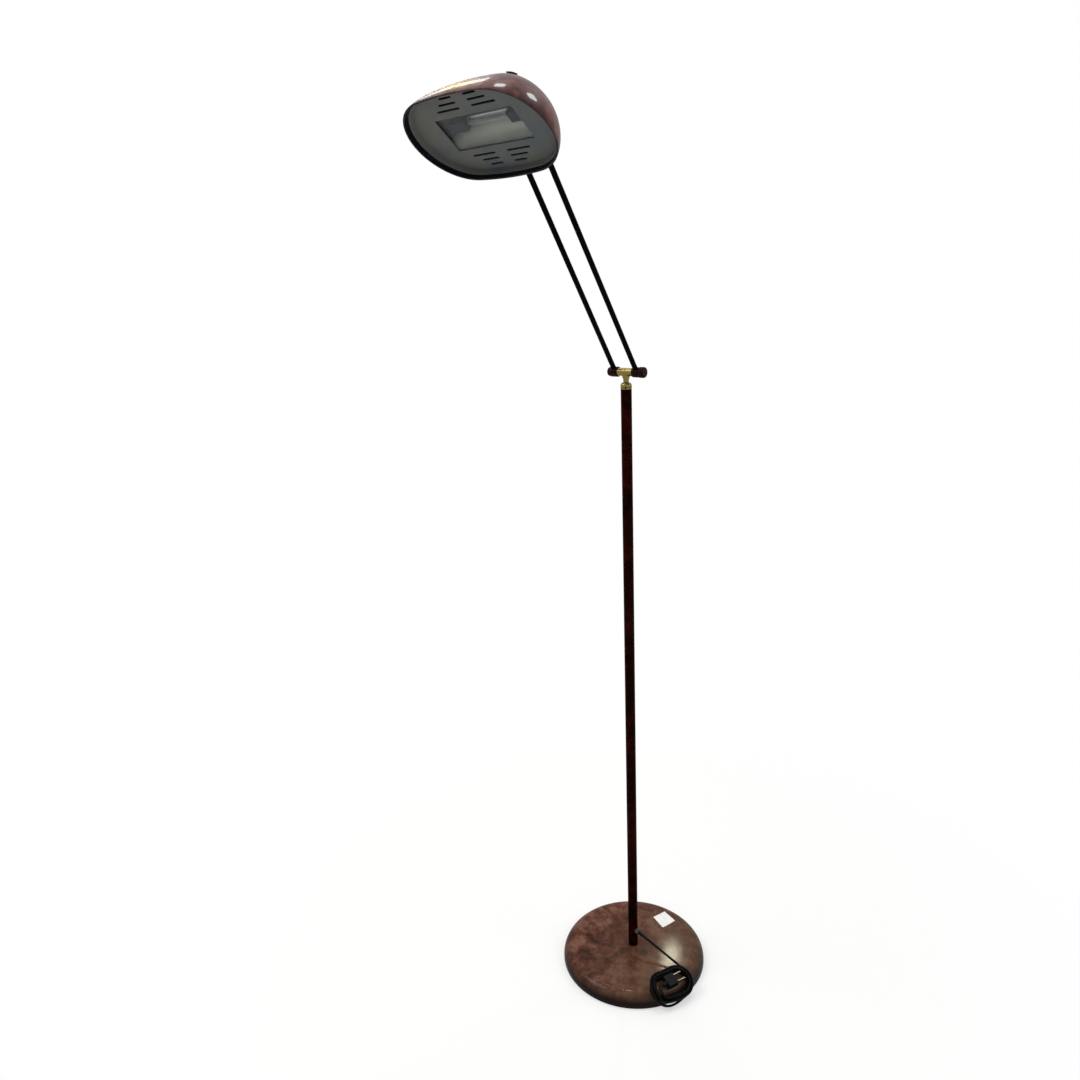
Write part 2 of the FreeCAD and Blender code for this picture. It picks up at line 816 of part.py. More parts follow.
def on_switch(piece, start):
    """Stand a piece that was made along Z on the shell where the switch is."""
    lean = FreeCAD.Rotation(FreeCAD.Vector(0, 1, 0), amount(S.switch_lean_angle))
    turn = FreeCAD.Rotation(FreeCAD.Vector(0, 0, 1), -amount(S.switch_turn_angle))
    tilt = FreeCAD.Rotation(FreeCAD.Vector(*TIP_BACK), amount(S.head_tilt))
    rotation = tilt.multiply(turn.multiply(lean))
    y, z = in_head(-S.switch_ahead, S.switch_level)
    seat = FreeCAD.Vector(amount(S.switch_across), amount(y), amount(z))
    outward = rotation.multVec(FreeCAD.Vector(0, 0, 1))
    piece.Placement = FreeCAD.Placement(seat + outward * amount(start), rotation)
    return piece


def build_shell():
    form = new_body("shell_form")
    outer = oval_loft(form, "PartDesign::AdditiveLoft", "shell_outer", dome_stations(S.shell_height), ZERO)
    doc.recompute()
    volume = outer.Shape.Volume
    inner = oval_loft(
        form,
        "PartDesign::SubtractiveLoft",
        "shell_inner",
        dome_stations(S.shell_height - S.shell_wall)[:-1],
        S.shell_wall,
    )
    place_in_head(form)
    doc.recompute()
    if inner.Shape.Volume > volume / 2:
        raise RuntimeError("the shell was not hollowed")
    stem_hole_width = S.spigot_diameter + S.stem_hole_gap * 2
    stem_hole = head_stem(
        cylinder("stem_hole", stem_hole_width, S.stem_bolt_reach), S.stem_diameter
    )
    switch_hole_width = S.switch_body_diameter + S.stem_hole_gap * 2
    switch_hole = on_switch(
        cylinder("switch_hole", switch_hole_width, S.switch_body_length * 2),
        -S.switch_body_length,
    )
    drilled = cut("shell_drilled", form, stem_hole)
    keep(cut("head_shell", drilled, switch_hole), "head_shell")


def build_head_mount():
    shoulder = S.stem_reach - S.stem_diameter / 4
    stem = turned("head_stem_form", (
        (0, 0),
        (S.hub_diameter / 2, 0),
        (S.hub_diameter / 2, S.hub_diameter / 2),
        (S.stem_diameter / 2, S.hub_diameter / 2 + S.stem_flare_height),
        (S.stem_diameter / 2, shoulder),
        (S.hub_diameter / 2, shoulder),
        (S.hub_diameter / 2, S.stem_reach),
        (S.spigot_diameter / 2, S.stem_reach),
        (S.spigot_diameter / 2, S.stem_bolt_reach),
        (0, S.stem_bolt_reach),
    ))
    head_stem(stem, ZERO)
    keep(bored_hub("head_hub", stem, S.arm_length), "head_hub")
    prism = head_stem(
        hexagon("stem_nut_form", S.stem_nut_across, S.stem_nut_height), S.stem_nut_start
    )
    thread_width = S.spigot_diameter + S.running_gap * 2
    thread = head_stem(
        cylinder("stem_nut_thread", thread_width, S.stem_nut_height), S.stem_nut_start
    )
    keep(cut("head_stem_nut", prism, thread), "head_stem_nut")


def build_switch():
    flange = S.switch_collar_height
    hole = S.switch_button_diameter / 2 + S.running_gap
    depth = S.switch_travel + S.switch_button_height / 2
    collar = turned("switch_body", (
        (0, -S.switch_body_length),
        (S.switch_body_diameter / 2, -S.switch_body_length),
        (S.switch_body_diameter / 2, S.face_gap),
        (S.switch_collar_diameter / 2, S.face_gap),
        (S.switch_collar_diameter / 2, S.face_gap + flange),
        (hole, S.face_gap + flange),
        (hole, -depth),
        (0, -depth),
    ))
    keep(on_switch(collar, ZERO), "switch_body")
    button = turned("switch_button", (
        (0, 0),
        (S.switch_button_diameter / 2, 0),
        (S.switch_button_diameter / 2, S.switch_button_height),
        (0, S.switch_button_height),
    ))
    edge = ((S.switch_button_diameter / 2, S.switch_button_height),)
    round_rings(button, button.Tip, edge, S.barrel_edge_radius)
    keep(on_switch(button, -S.switch_button_height / 2), "switch_button")


# Face tray with its window, vents, glass seat and bosses
def tray_outline(level):
    """The level, fullness and height share of the shell at a level above the face."""
    height_share = amount(level + S.rim_drop) / amount(S.shell_height)
    return level, fullness(height_share), height_share


def build_tray():
    tray = new_body("face_tray")
    lip_level = -S.tray_lip
    top_level = S.tray_thickness
    outer = oval_loft(
        tray,
        "PartDesign::AdditiveLoft",
        "tray_outer",
        [tray_outline(lip_level), tray_outline(top_level)],
        S.shell_wall + S.tray_gap,
    )
    doc.recompute()
    volume = outer.Shape.Volume
    hollow = oval_loft(
        tray,
        "PartDesign::SubtractiveLoft",
        "tray_hollow",
        [tray_outline(lip_level), tray_outline(ZERO)],
        S.shell_wall + S.tray_gap + S.tray_lip_wall,
    )
    doc.recompute()
    if hollow.Shape.Volume > volume / 2:
        raise RuntimeError("the tray was not hollowed")

    rib = new_sketch(tray, "tray_rib_outline", "XY_Plane", S.tray_thickness)
    glass_width = S.window_width + S.glass_overlap * 2
    glass_depth = S.window_depth + S.glass_overlap * 2
    rib_inner_width = glass_width + S.face_gap * 2
    rib_inner_depth = glass_depth + S.face_gap * 2
    draw_box(rib, rib_inner_width + S.rib_wall * 2, rib_inner_depth + S.rib_wall * 2)
    draw_box(rib, rib_inner_width, rib_inner_depth)
    pad(tray, rib, S.rib_height)

    boss = new_sketch(tray, "tray_boss_outline", "XY_Plane", S.tray_thickness)
    for across in (-S.boss_across, S.boss_across):
        for ahead in (-S.boss_ahead, S.boss_ahead):
            draw_circle(boss, across, ahead, S.boss_diameter / 2)
    pad(tray, boss, S.glass_thickness)

    window = new_sketch(tray, "tray_window_outline", "XY_Plane", S.tray_thickness)
    draw_box(window, S.window_width, S.window_depth)
    pocket(tray, window, S.tray_thickness)

    vents = new_sketch(tray, "tray_vent_outline", "XY_Plane", S.tray_thickness)
    for row, length in enumerate((S.slot_length_long, S.slot_length_middle, S.slot_length_short)):
        level = S.slot_first_row + S.slot_pitch * row
        near = S.slot_inner_end + S.slot_width / 2
        far = S.slot_inner_end + length - S.slot_width / 2
        for up in (level, -level):
            draw_slot(vents, near, far, up, S.slot_width)
            draw_slot(vents, -far, -near, up, S.slot_width)
    pocket(tray, vents, S.tray_thickness)

    pilots = new_sketch(tray, "tray_pilot_outline", "XY_Plane", S.tray_thickness + S.glass_thickness)
    for across in (-S.boss_across, S.boss_across):
        for ahead in (-S.boss_ahead, S.boss_ahead):
            draw_circle(pilots, across, ahead, S.screw_diameter / 2 + S.running_gap)
    pocket(tray, pilots, S.glass_thickness + S.tray_thickness / 2)
    keep(place_in_head(tray), "face_tray")

    glass = block("lens_glass", glass_width, glass_depth, S.glass_thickness)
    keep(place_in_head(glass, level=S.tray_thickness), "lens_glass")


# Reflector trough with its flange, screws, lamp and holders
def build_reflector():
    seat = S.tray_thickness + S.glass_thickness
    trough = new_body("reflector")
    flange = new_sketch(trough, "reflector_flange", "XY_Plane")
    draw_box(flange, S.flange_width, S.flange_depth)
    pad(trough, flange, S.sheet_thickness)
    outer = new_sketch(trough, "reflector_outer", "YZ_Plane")
    draw_circle(outer, 0, 0, S.trough_radius + S.sheet_thickness)
    pad(trough, outer, S.window_width + S.sheet_thickness * 2, both_ways=True)
    inner = new_sketch(trough, "reflector_inner", "YZ_Plane")
    draw_circle(inner, 0, 0, S.trough_radius)
    pocket(trough, inner, S.window_width, both_ways=True)
    below = new_sketch(trough, "reflector_below", "XY_Plane")
    draw_box(below, S.flange_width, S.flange_depth)
    pocket(trough, below, S.trough_radius * 2)
    holes = new_sketch(trough, "reflector_holes", "XY_Plane", S.sheet_thickness)
    for across in (-S.boss_across, S.boss_across):
        for ahead in (-S.boss_ahead, S.boss_ahead):
            draw_circle(holes, across, ahead, S.screw_diameter / 2 + S.face_gap / 2)
    pocket(trough, holes, S.sheet_thickness)
    keep(place_in_head(trough, level=seat), "reflector")

    number = 0
    shank = S.screw_diameter / 2
    for across in (-S.boss_across, S.boss_across):
        for ahead in (-S.boss_ahead, S.boss_ahead):
            number += 1
            screw = turned(f"reflector_screw_{number}", (
                (0, -S.screw_length),
                (shank, -S.screw_length),
                (shank, 0),
                (S.screw_head_diameter / 2, 0),
                (S.screw_head_diameter / 2, S.screw_head_height),
                (0, S.screw_head_height),
            ))
            place_in_head(screw, across, ahead, seat + S.sheet_thickness)
            keep(screw, f"reflector_screw_{number}")


def build_lamp():
    def along_window(piece, start):
        """Lay a piece that was made along Z on the lamp's axis, from start towards +X."""
        y, z = in_head(ZERO, S.lamp_level)
        return across_bar(piece, start, y, z)

    tube = cylinder("lamp_tube", S.lamp_tube_diameter, S.lamp_tube_length)
    keep(along_window(tube, -S.lamp_tube_length / 2), "lamp_tube")
    tip = S.lamp_tube_length / 2 + S.lamp_end_length
    inner_face = tip - S.holder_bite
    holder_length = S.window_width / 2 - S.holder_gap - inner_face
    for side, name in ((-1, "left"), (1, "right")):
        start = S.lamp_tube_length / 2 if side > 0 else -tip
        end_cap = cylinder(f"lamp_end_{name}", S.lamp_end_diameter, S.lamp_end_length)
        keep(along_window(end_cap, start), f"lamp_end_{name}")
        form = block(f"lamp_holder_{name}_form", holder_length, S.holder_depth, S.holder_height)
        middle = (inner_face + holder_length / 2) * side
        place_in_head(form, middle, level=S.lamp_level - S.holder_height / 2)
        socket_width = S.lamp_end_diameter + S.holder_gap * 2
        socket_depth = S.holder_bite + S.holder_gap
        socket = cylinder(f"lamp_socket_{name}", socket_width, socket_depth)
        along_window(socket, inner_face if side > 0 else -inner_face - socket_depth)
        keep(cut(f"lamp_holder_{name}", form, socket), f"lamp_holder_{name}")


# Mains cord: the bushing on the pole, the straight stretch, the hank over the rim and the plug
LAYER_ONE = S.cord_diameter / 2 + S.cord_clearance
LAYER_RISE = S.cord_diameter + S.layer_gap
EDGE_REACH = amount(S.base_diameter / 2 - S.base_edge_radius)
EDGE_LEVEL = amount(S.base_height - S.base_edge_radius)
EDGE_ROUND = amount(S.base_edge_radius)
RIM_REACH = EDGE_REACH + EDGE_ROUND / 2
WRAP = EDGE_ROUND + amount(LAYER_ONE)
ROUND_LENGTH = WRAP * math.pi / 2
HANK_REACH = amount(S.hank_half_run + S.hank_end_radius)
PITCH = amount(S.cord_diameter + S.turn_gap)
CORD_TURN = math.radians(amount(S.cord_azimuth))


def landing_angle():
    """Angle up the rounded edge, in radians, where the straight cord comes to lie on it."""
    away = EDGE_REACH - amount(S.pole_diameter) / 2
    above = amount(S.exit_height) - EDGE_LEVEL
    span = math.hypot(away, above)
    bearing = math.pi - math.atan2(above, away)
    return bearing - math.acos(WRAP / span)


LANDING = landing_angle()
CORD_DIP = math.pi / 2 - LANDING
CORD_HEADING = FreeCAD.Vector(
    math.cos(CORD_DIP) * math.cos(CORD_TURN),
    -math.cos(CORD_DIP) * math.sin(CORD_TURN),
    -math.sin(CORD_DIP),
)


def on_cord(distance):
    """A point of the straight cord's line, at a distance out from the pole's face."""
    reach = amount(S.pole_diameter) / 2
    exit_point = FreeCAD.Vector(
        reach * math.cos(CORD_TURN), -reach * math.sin(CORD_TURN), amount(S.exit_height)
    )
    return exit_point + CORD_HEADING * amount(distance)


def along_cord(piece, start):
    """Lay a piece that was made along Z on the straight cord's line."""
    turn = FreeCAD.Rotation(FreeCAD.Vector(0, 0, 1), CORD_HEADING)
    piece.Placement = FreeCAD.Placement(on_cord(start), turn)
    return piece


def build_bushing():
    saddle = cylinder("bushing_form", S.bushing_diameter, S.bushing_reach + S.pole_diameter / 4)
    along_cord(saddle, -S.pole_diameter / 4)
    pole_width = S.pole_diameter + S.sleeve_gap * 2
    pole_space = cylinder("bushing_space", pole_width, S.exit_height * 2)
    neck = cylinder("bushing_neck_form", S.bushing_neck, S.pole_wall * 3)
    along_cord(neck, -S.pole_wall * 2)
    keep(fuse("cord_bushing", [cut("bushing_saddle", saddle, pole_space), neck]), "cord_bushing")


def rim_point(along, up_slope, offset):
    """A point over the base's edge.

    along is measured round the rim from the hank's middle, up_slope from the
    foot of the rounded edge over it and inwards, offset outwards from it.
    """
    azimuth = (along - HANK_REACH) / RIM_REACH - CORD_TURN
    if up_slope < 0:
        reach, level = EDGE_REACH + EDGE_ROUND + offset, EDGE_LEVEL + up_slope
    elif up_slope < ROUND_LENGTH:
        angle = up_slope / WRAP
        reach = EDGE_REACH + (EDGE_ROUND + offset) * math.cos(angle)
        level = EDGE_LEVEL + (EDGE_ROUND + offset) * math.sin(angle)
    else:
        reach = EDGE_REACH - (up_slope - ROUND_LENGTH)
        level = EDGE_LEVEL + EDGE_ROUND + offset
    return FreeCAD.Vector(reach * math.cos(azimuth), reach * math.sin(azimuth), level)


def rim_way(along, up_slope, offset, dip):
    """The direction over the edge that dips below the rim's own direction by an angle."""
    step = WRAP * 1e-5
    ahead = rim_point(along + step * math.cos(dip), up_slope - step * math.sin(dip), offset)
    behind = rim_point(along - step * math.cos(dip), up_slope + step * math.sin(dip), offset)
    return (ahead - behind).normalize()


def spiral(turns):
    """How many pitches in and how many layers up the hank's wire is after a number of turns.

    It spirals in on the first and third layers and out on the second, and climbs
    to the next layer along the lower run of the turn where the spiral reverses.
    """
    reversals = [TURNS_PER_LAYER * layer + 0.25 for layer in range(1, LAYERS)]
    pitches_in = turns
    if turns > reversals[-1]:
        pitches_in = turns - 2 * TURNS_PER_LAYER
    elif turns > reversals[0]:
        pitches_in = 2 * reversals[0] - turns
    layers_up = 0
    for reversal in reversals:
        climb = min(max((turns - reversal + 0.125) * 4, 0), 1)
        layers_up += climb * climb * (3 - 2 * climb)
    return pitches_in, layers_up


def hank_place(turns):
    """Where the hank's wire is after a number of turns: along, up the slope, offset.

    A turn is a quarter bend down, a run left, a half bend up, a run right and
    a quarter bend down.
    """
    pitches_in, layers_up = spiral(turns)
    offset = amount(LAYER_ONE) + amount(LAYER_RISE) * layers_up
    radius = amount(S.hank_end_radius) - PITCH * pitches_in
    run = amount(S.hank_half_run)
    middle = amount(S.hank_middle)
    quarter = (turns * 4) % 4
    if quarter < 0.5:
        bend = -quarter * math.pi
        return run + radius * math.cos(bend), middle + radius * math.sin(bend), offset
    if quarter < 1.5:
        return run - 2 * run * (quarter - 0.5), middle - radius, offset
    if quarter < 2.5:
        bend = -(quarter - 1) * math.pi
        return -run + radius * math.cos(bend), middle + radius * math.sin(bend), offset
    if quarter < 3.5:
        return -run + 2 * run * (quarter - 2.5), middle + radius, offset
    bend = (4 - quarter) * math.pi
    return run + radius * math.cos(bend), middle + radius * math.sin(bend), offset


def biarc(start, start_way, end, end_way):
    """Two arcs that leave start and reach end along the given directions."""
    chord = end - start
    squared = 2 * (1 - start_way.dot(end_way))
    lean = chord.dot(start_way + end_way)
    if squared < 1e-9:
        reach = chord.dot(chord) / (2 * lean)
    else:
        reach = (-lean + math.sqrt(lean * lean + squared * chord.dot(chord))) / squared
    near = start + start_way * reach
    far = end - end_way * reach
    joint = (near + far) * 0.5
    edges = []
    for first, corner, last in ((start, near, joint), (joint, far, end)):
        half = (last - first).Length / 2
        side = (corner - first).Length
        height = math.sqrt(max(side * side - half * half, 0))
        if height < side * 1e-4:
            edges.append(Part.LineSegment(first, last).toShape())
            continue
        bulge = half * math.tan(math.atan2(height, half) / 2)
        middle = (first + last) * 0.5
        through = middle + (corner - middle) * (bulge / height)
        edges.append(Part.Arc(first, through, last).toShape())
    return edges


def hank_course():
    """Points of the hank's wire with their directions, from the landing to its last bend."""
    first_slope = LANDING * WRAP
    lower = amount(LAYER_ONE)
    course = []
    for share in (0, 0.5):
        slope = first_slope + (amount(S.hank_middle) - first_slope) * share
        course.append((
            rim_point(HANK_REACH, slope, lower),
            rim_way(HANK_REACH, slope, lower, math.pi / 2),
        ))
    marks = [0.25 / BEND_STEPS * step for step in range(BEND_STEPS // 2)]
    marks += [0.125 + 0.25 / RUN_STEPS * step for step in range(RUN_STEPS)]
    marks += [0.375 + 0.25 / BEND_STEPS * step for step in range(BEND_STEPS)]
    marks += [0.625 + 0.25 / RUN_STEPS * step for step in range(RUN_STEPS)]
    marks += [0.875 + 0.25 / BEND_STEPS * step for step in range(BEND_STEPS // 2)]
    nudge = 1e-4
    last = LAYERS * TURNS_PER_LAYER + LAST_TURN_SHARE
    every = [turn + mark for turn in range(LAYERS * TURNS_PER_LAYER + 1) for mark in marks]
    for turns in [mark for mark in every if mark < last - nudge] + [last]:
        here = rim_point(*hank_place(turns))
        ahead = rim_point(*hank_place(turns + nudge))
        behind = rim_point(*hank_place(turns - nudge))
        course.append((here, (ahead - behind).normalize()))
    return course


def plug_frame():
    """The plug's middle in the hank's opening, the way it points and the way its flat side faces."""
    offset = amount(S.plug_thickness / 2 + S.cord_clearance)
    slope = amount(S.hank_middle + S.plug_shift)
    middle = rim_point(0, slope, offset)
    heading = rim_way(0, slope, 0, 0)
    facing = (middle - rim_point(0, slope, 0)).normalize()
    return middle, heading, facing


def hank_tail(neck_end, heading):
    """The wire's loop from the hank's last run back to the plug in its opening.

    A quarter of the way down to the plug comes in its first bend, which keeps it
    clear of the inner turns, and the rest in its second.
    """
    along, slope, top = hank_place(LAYERS * TURNS_PER_LAYER + LAST_TURN_SHARE)
    low = amount(S.plug_thickness / 2 + S.cord_clearance)
    bend = (amount(S.hank_middle + S.plug_shift) - slope) / 2
    turning = (along - bend, slope + bend, (3 * top + low) / 4)
    return [
        (rim_point(*turning), rim_way(*turning, -math.pi / 2)),
        (neck_end - heading * amount(S.cord_diameter / 2), heading),
    ]


def build_cord():
    """The straight stretch and the hank with its tail, as tubes."""
    course = hank_course()
    radius = amount(S.cord_diameter) / 2
    start, landing = on_cord(S.bushing_reach), course[0][0]
    run = doc.addObject("Part::Feature", "cord_run")
    run.Shape = Part.makeCylinder(radius, (landing - start).Length, start, CORD_HEADING)
    keep(run, "cord_run")
    print("straight cord length", round((landing - start).Length, 1))

    plug_middle, heading, _ = plug_frame()
    neck_end = plug_middle - heading * amount(S.plug_length / 2 + S.plug_neck_length)
    course += hank_tail(neck_end, heading)
    edges = []
    for (here, way), (after, next_way) in zip(course, course[1:]):
        edges += biarc(here, way, after, next_way)
    edges.append(Part.LineSegment(course[-1][0], neck_end).toShape())
    wire = Part.Wire(edges)
    section = Part.Wire(Part.Circle(landing, CORD_HEADING, radius).toShape())
    shell = Part.BRepOffsetAPI.MakePipeShell(wire)
    shell.add(section)
    shell.build()
    shell.makeSolid()
    hank = doc.addObject("Part::Feature", "cord_hank")
    hank.Shape = shell.shape()
    keep(hank, "cord_hank")
    report_hank(wire, edges, hank.Shape.Volume)


def report_hank(wire, edges, volume):
    """Print the hank's length, its tightest bend, its volume check and its least gap."""
    width = amount(S.cord_diameter)
    radii = [edge.Curve.Radius for edge in edges if isinstance(edge.Curve, Part.Circle)]
    print("hank length", round(wire.Length), "tightest radius", round(min(radii), 1))
    print("hank volume over section times length", round(volume * 4 / math.pi / width ** 2 / wire.Length, 4))
    points = wire.discretize(Number=int(wire.Length / width * 3))
    apart = 9
    gaps = [
        point.distanceToPoint(other) - width
        for number, point in enumerate(points)
        for other in points[number + apart:]
    ]
    print("least gap between turns", round(min(gaps), 2))


def build_plug():
    """A two-blade plug that lies on the rounded edge in the hank's opening."""
    middle, heading, facing = plug_frame()
    side = facing.cross(heading)
    rotation = FreeCAD.Rotation(side, facing, heading, "ZYX")
    heel = middle - heading * amount(S.plug_length / 2)
    form = new_body("plug_form")
    outline = new_sketch(form, "plug_outline", "XY_Plane")
    draw_box(outline, S.plug_width, S.plug_thickness)
    box_pad = pad(form, outline, S.plug_length)
    doc.recompute()
    rounding = form.newObject("PartDesign::Fillet", "plug_round")
    rounding.Base = (box_pad, [
        f"Edge{number}"
        for number, edge in enumerate(box_pad.Shape.Edges, start=1)
        if abs(edge.tangentAt(edge.FirstParameter).z) > 0.5
    ])
    rounding.Radius = amount(S.plug_edge_radius)
    rounding.setExpression("Radius", words(S.plug_edge_radius))
    form.Placement = FreeCAD.Placement(heel, rotation)
    neck = doc.addObject("Part::Cone", "plug_neck")
    for size, value in (
        ("Radius1", S.plug_neck_diameter / 2),
        ("Radius2", S.plug_thickness / 2 - S.plug_edge_radius / 2),
        ("Height", S.plug_neck_length),
    ):
        setattr(neck, size, amount(value))
        neck.setExpression(size, words(value))
    neck.Placement = FreeCAD.Placement(heel - heading * amount(S.plug_neck_length), rotation)
    keep(fuse("plug_body", [form, neck]), "plug_body")
    face = heel + heading * amount(S.plug_length)
    for number, sign in enumerate((-1, 1), start=1):
        blade = block(f"plug_blade_{number}", S.blade_thickness, S.blade_width, S.blade_length)
        across = side * (sign * amount(S.blade_spacing) / 2)
        blade.Placement = FreeCAD.Placement(face + across, rotation)
        keep(blade, f"plug_blade_{number}")


# Build every piece, check it and write it out
build_base()
build_pole()
build_swivel()
build_arm()
build_shell()
build_head_mount()
build_switch()
build_tray()
build_reflector()
build_lamp()
build_bushing()
build_cord()
build_plug()
doc.recompute()

for thing in doc.Objects:
    if "Invalid" in thing.State or "Error" in thing.State:
        raise RuntimeError(f"{thing.Name} did not build: {thing.State}")
for name, piece in nodes.items():
    if piece.Shape.isNull() or not piece.Shape.isValid():
        raise RuntimeError(f"{name} has no valid shape")
    if len(piece.Shape.Solids) != 1:
        raise RuntimeError(f"{name} has {len(piece.Shape.Solids)} solids")

os.makedirs("parts", exist_ok=True)
for name, piece in nodes.items():
    piece.Shape.exportStep(os.path.join("parts", f"{name}.step"))
print(len(nodes), "pieces written")
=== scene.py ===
"""Reading floor lamp with a marbled round base and an oval halogen head.

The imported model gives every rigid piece.  This file dresses those pieces, lays
the mains lead over the base's edge and adds the small things that the solids
leave out: the strain reliefs, the lamp's filament and a blank paper sticker.
"""

import functools
import logging
import math
from collections.abc import Sequence
from dataclasses import dataclass, field
from enum import Enum
from typing import Protocol, Union

import bpy
import numpy as np
from mathutils import Matrix, Vector


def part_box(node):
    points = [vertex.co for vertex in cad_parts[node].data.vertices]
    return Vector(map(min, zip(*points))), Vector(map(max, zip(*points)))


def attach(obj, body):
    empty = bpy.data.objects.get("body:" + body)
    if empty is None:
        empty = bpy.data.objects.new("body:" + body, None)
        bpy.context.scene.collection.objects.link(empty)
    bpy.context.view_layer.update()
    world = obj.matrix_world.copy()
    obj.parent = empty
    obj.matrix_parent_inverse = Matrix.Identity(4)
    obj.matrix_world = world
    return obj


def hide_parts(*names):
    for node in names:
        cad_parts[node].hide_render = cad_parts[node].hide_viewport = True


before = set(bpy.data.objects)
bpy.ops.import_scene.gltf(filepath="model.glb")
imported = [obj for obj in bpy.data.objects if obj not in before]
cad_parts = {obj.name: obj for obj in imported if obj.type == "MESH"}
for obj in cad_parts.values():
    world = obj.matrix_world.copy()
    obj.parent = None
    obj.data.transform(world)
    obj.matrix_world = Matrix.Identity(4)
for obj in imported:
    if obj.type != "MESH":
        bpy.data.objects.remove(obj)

log = logging.getLogger("floor_lamp")
MM = 0.001
Colour = tuple[int, int, int]
Triple = tuple[float, float, float]
Reach = tuple[float, float]
WHITE = (1.0, 1.0, 1.0, 1.0)

# How much of each finer layer the cloud noise keeps
NOISE_ROUGHNESS = 0.55

# The head's tilt in degrees and its pivot at rest, and the pivot in the head's own frame
HEAD_TILT = 36.25
HEAD_PIVOT = (0.0, -199.25 * MM, 1329.75 * MM)
HEAD_PIVOT_BACK = 76.1 * MM
HEAD_PIVOT_LEVEL = 38.4 * MM


# Shader expressions
class Sock:
    """A number socket that adds Math nodes when it is used in an expression."""

    def __init__(self, graph: "Graph", socket: Union[bpy.types.NodeSocket, None]) -> None:
        """Hold one socket of a graph."""
        self.graph = graph
        self.socket = socket

    def _math(self, operation: str, first: "Value", second: "Value") -> "Sock":
        """Return the socket of a Math node that works on two values."""
        return self.graph.node("ShaderNodeMath", {"operation": operation}, {0: first, 1: second})

    def __add__(self, other: "Value") -> "Sock":
        """Return this value plus another."""
        return self._math("ADD", self, other)

    def __radd__(self, other: "Value") -> "Sock":
        """Return another value plus this one."""
        return self._math("ADD", other, self)

    def __sub__(self, other: "Value") -> "Sock":
        """Return this value minus another."""
        return self._math("SUBTRACT", self, other)

    def __rsub__(self, other: "Value") -> "Sock":
        """Return another value minus this one."""
        return self._math("SUBTRACT", other, self)

    def __mul__(self, other: "Value") -> "Sock":
        """Return this value times another."""
        return self._math("MULTIPLY", self, other)

    def __rmul__(self, other: "Value") -> "Sock":
        """Return another value times this one."""
        return self._math("MULTIPLY", other, self)

    def largest(self, other: "Value") -> "Sock":
        """Return the larger of this value and another."""
        return self._math("MAXIMUM", self, other)


Value = Union[Sock, float, tuple]


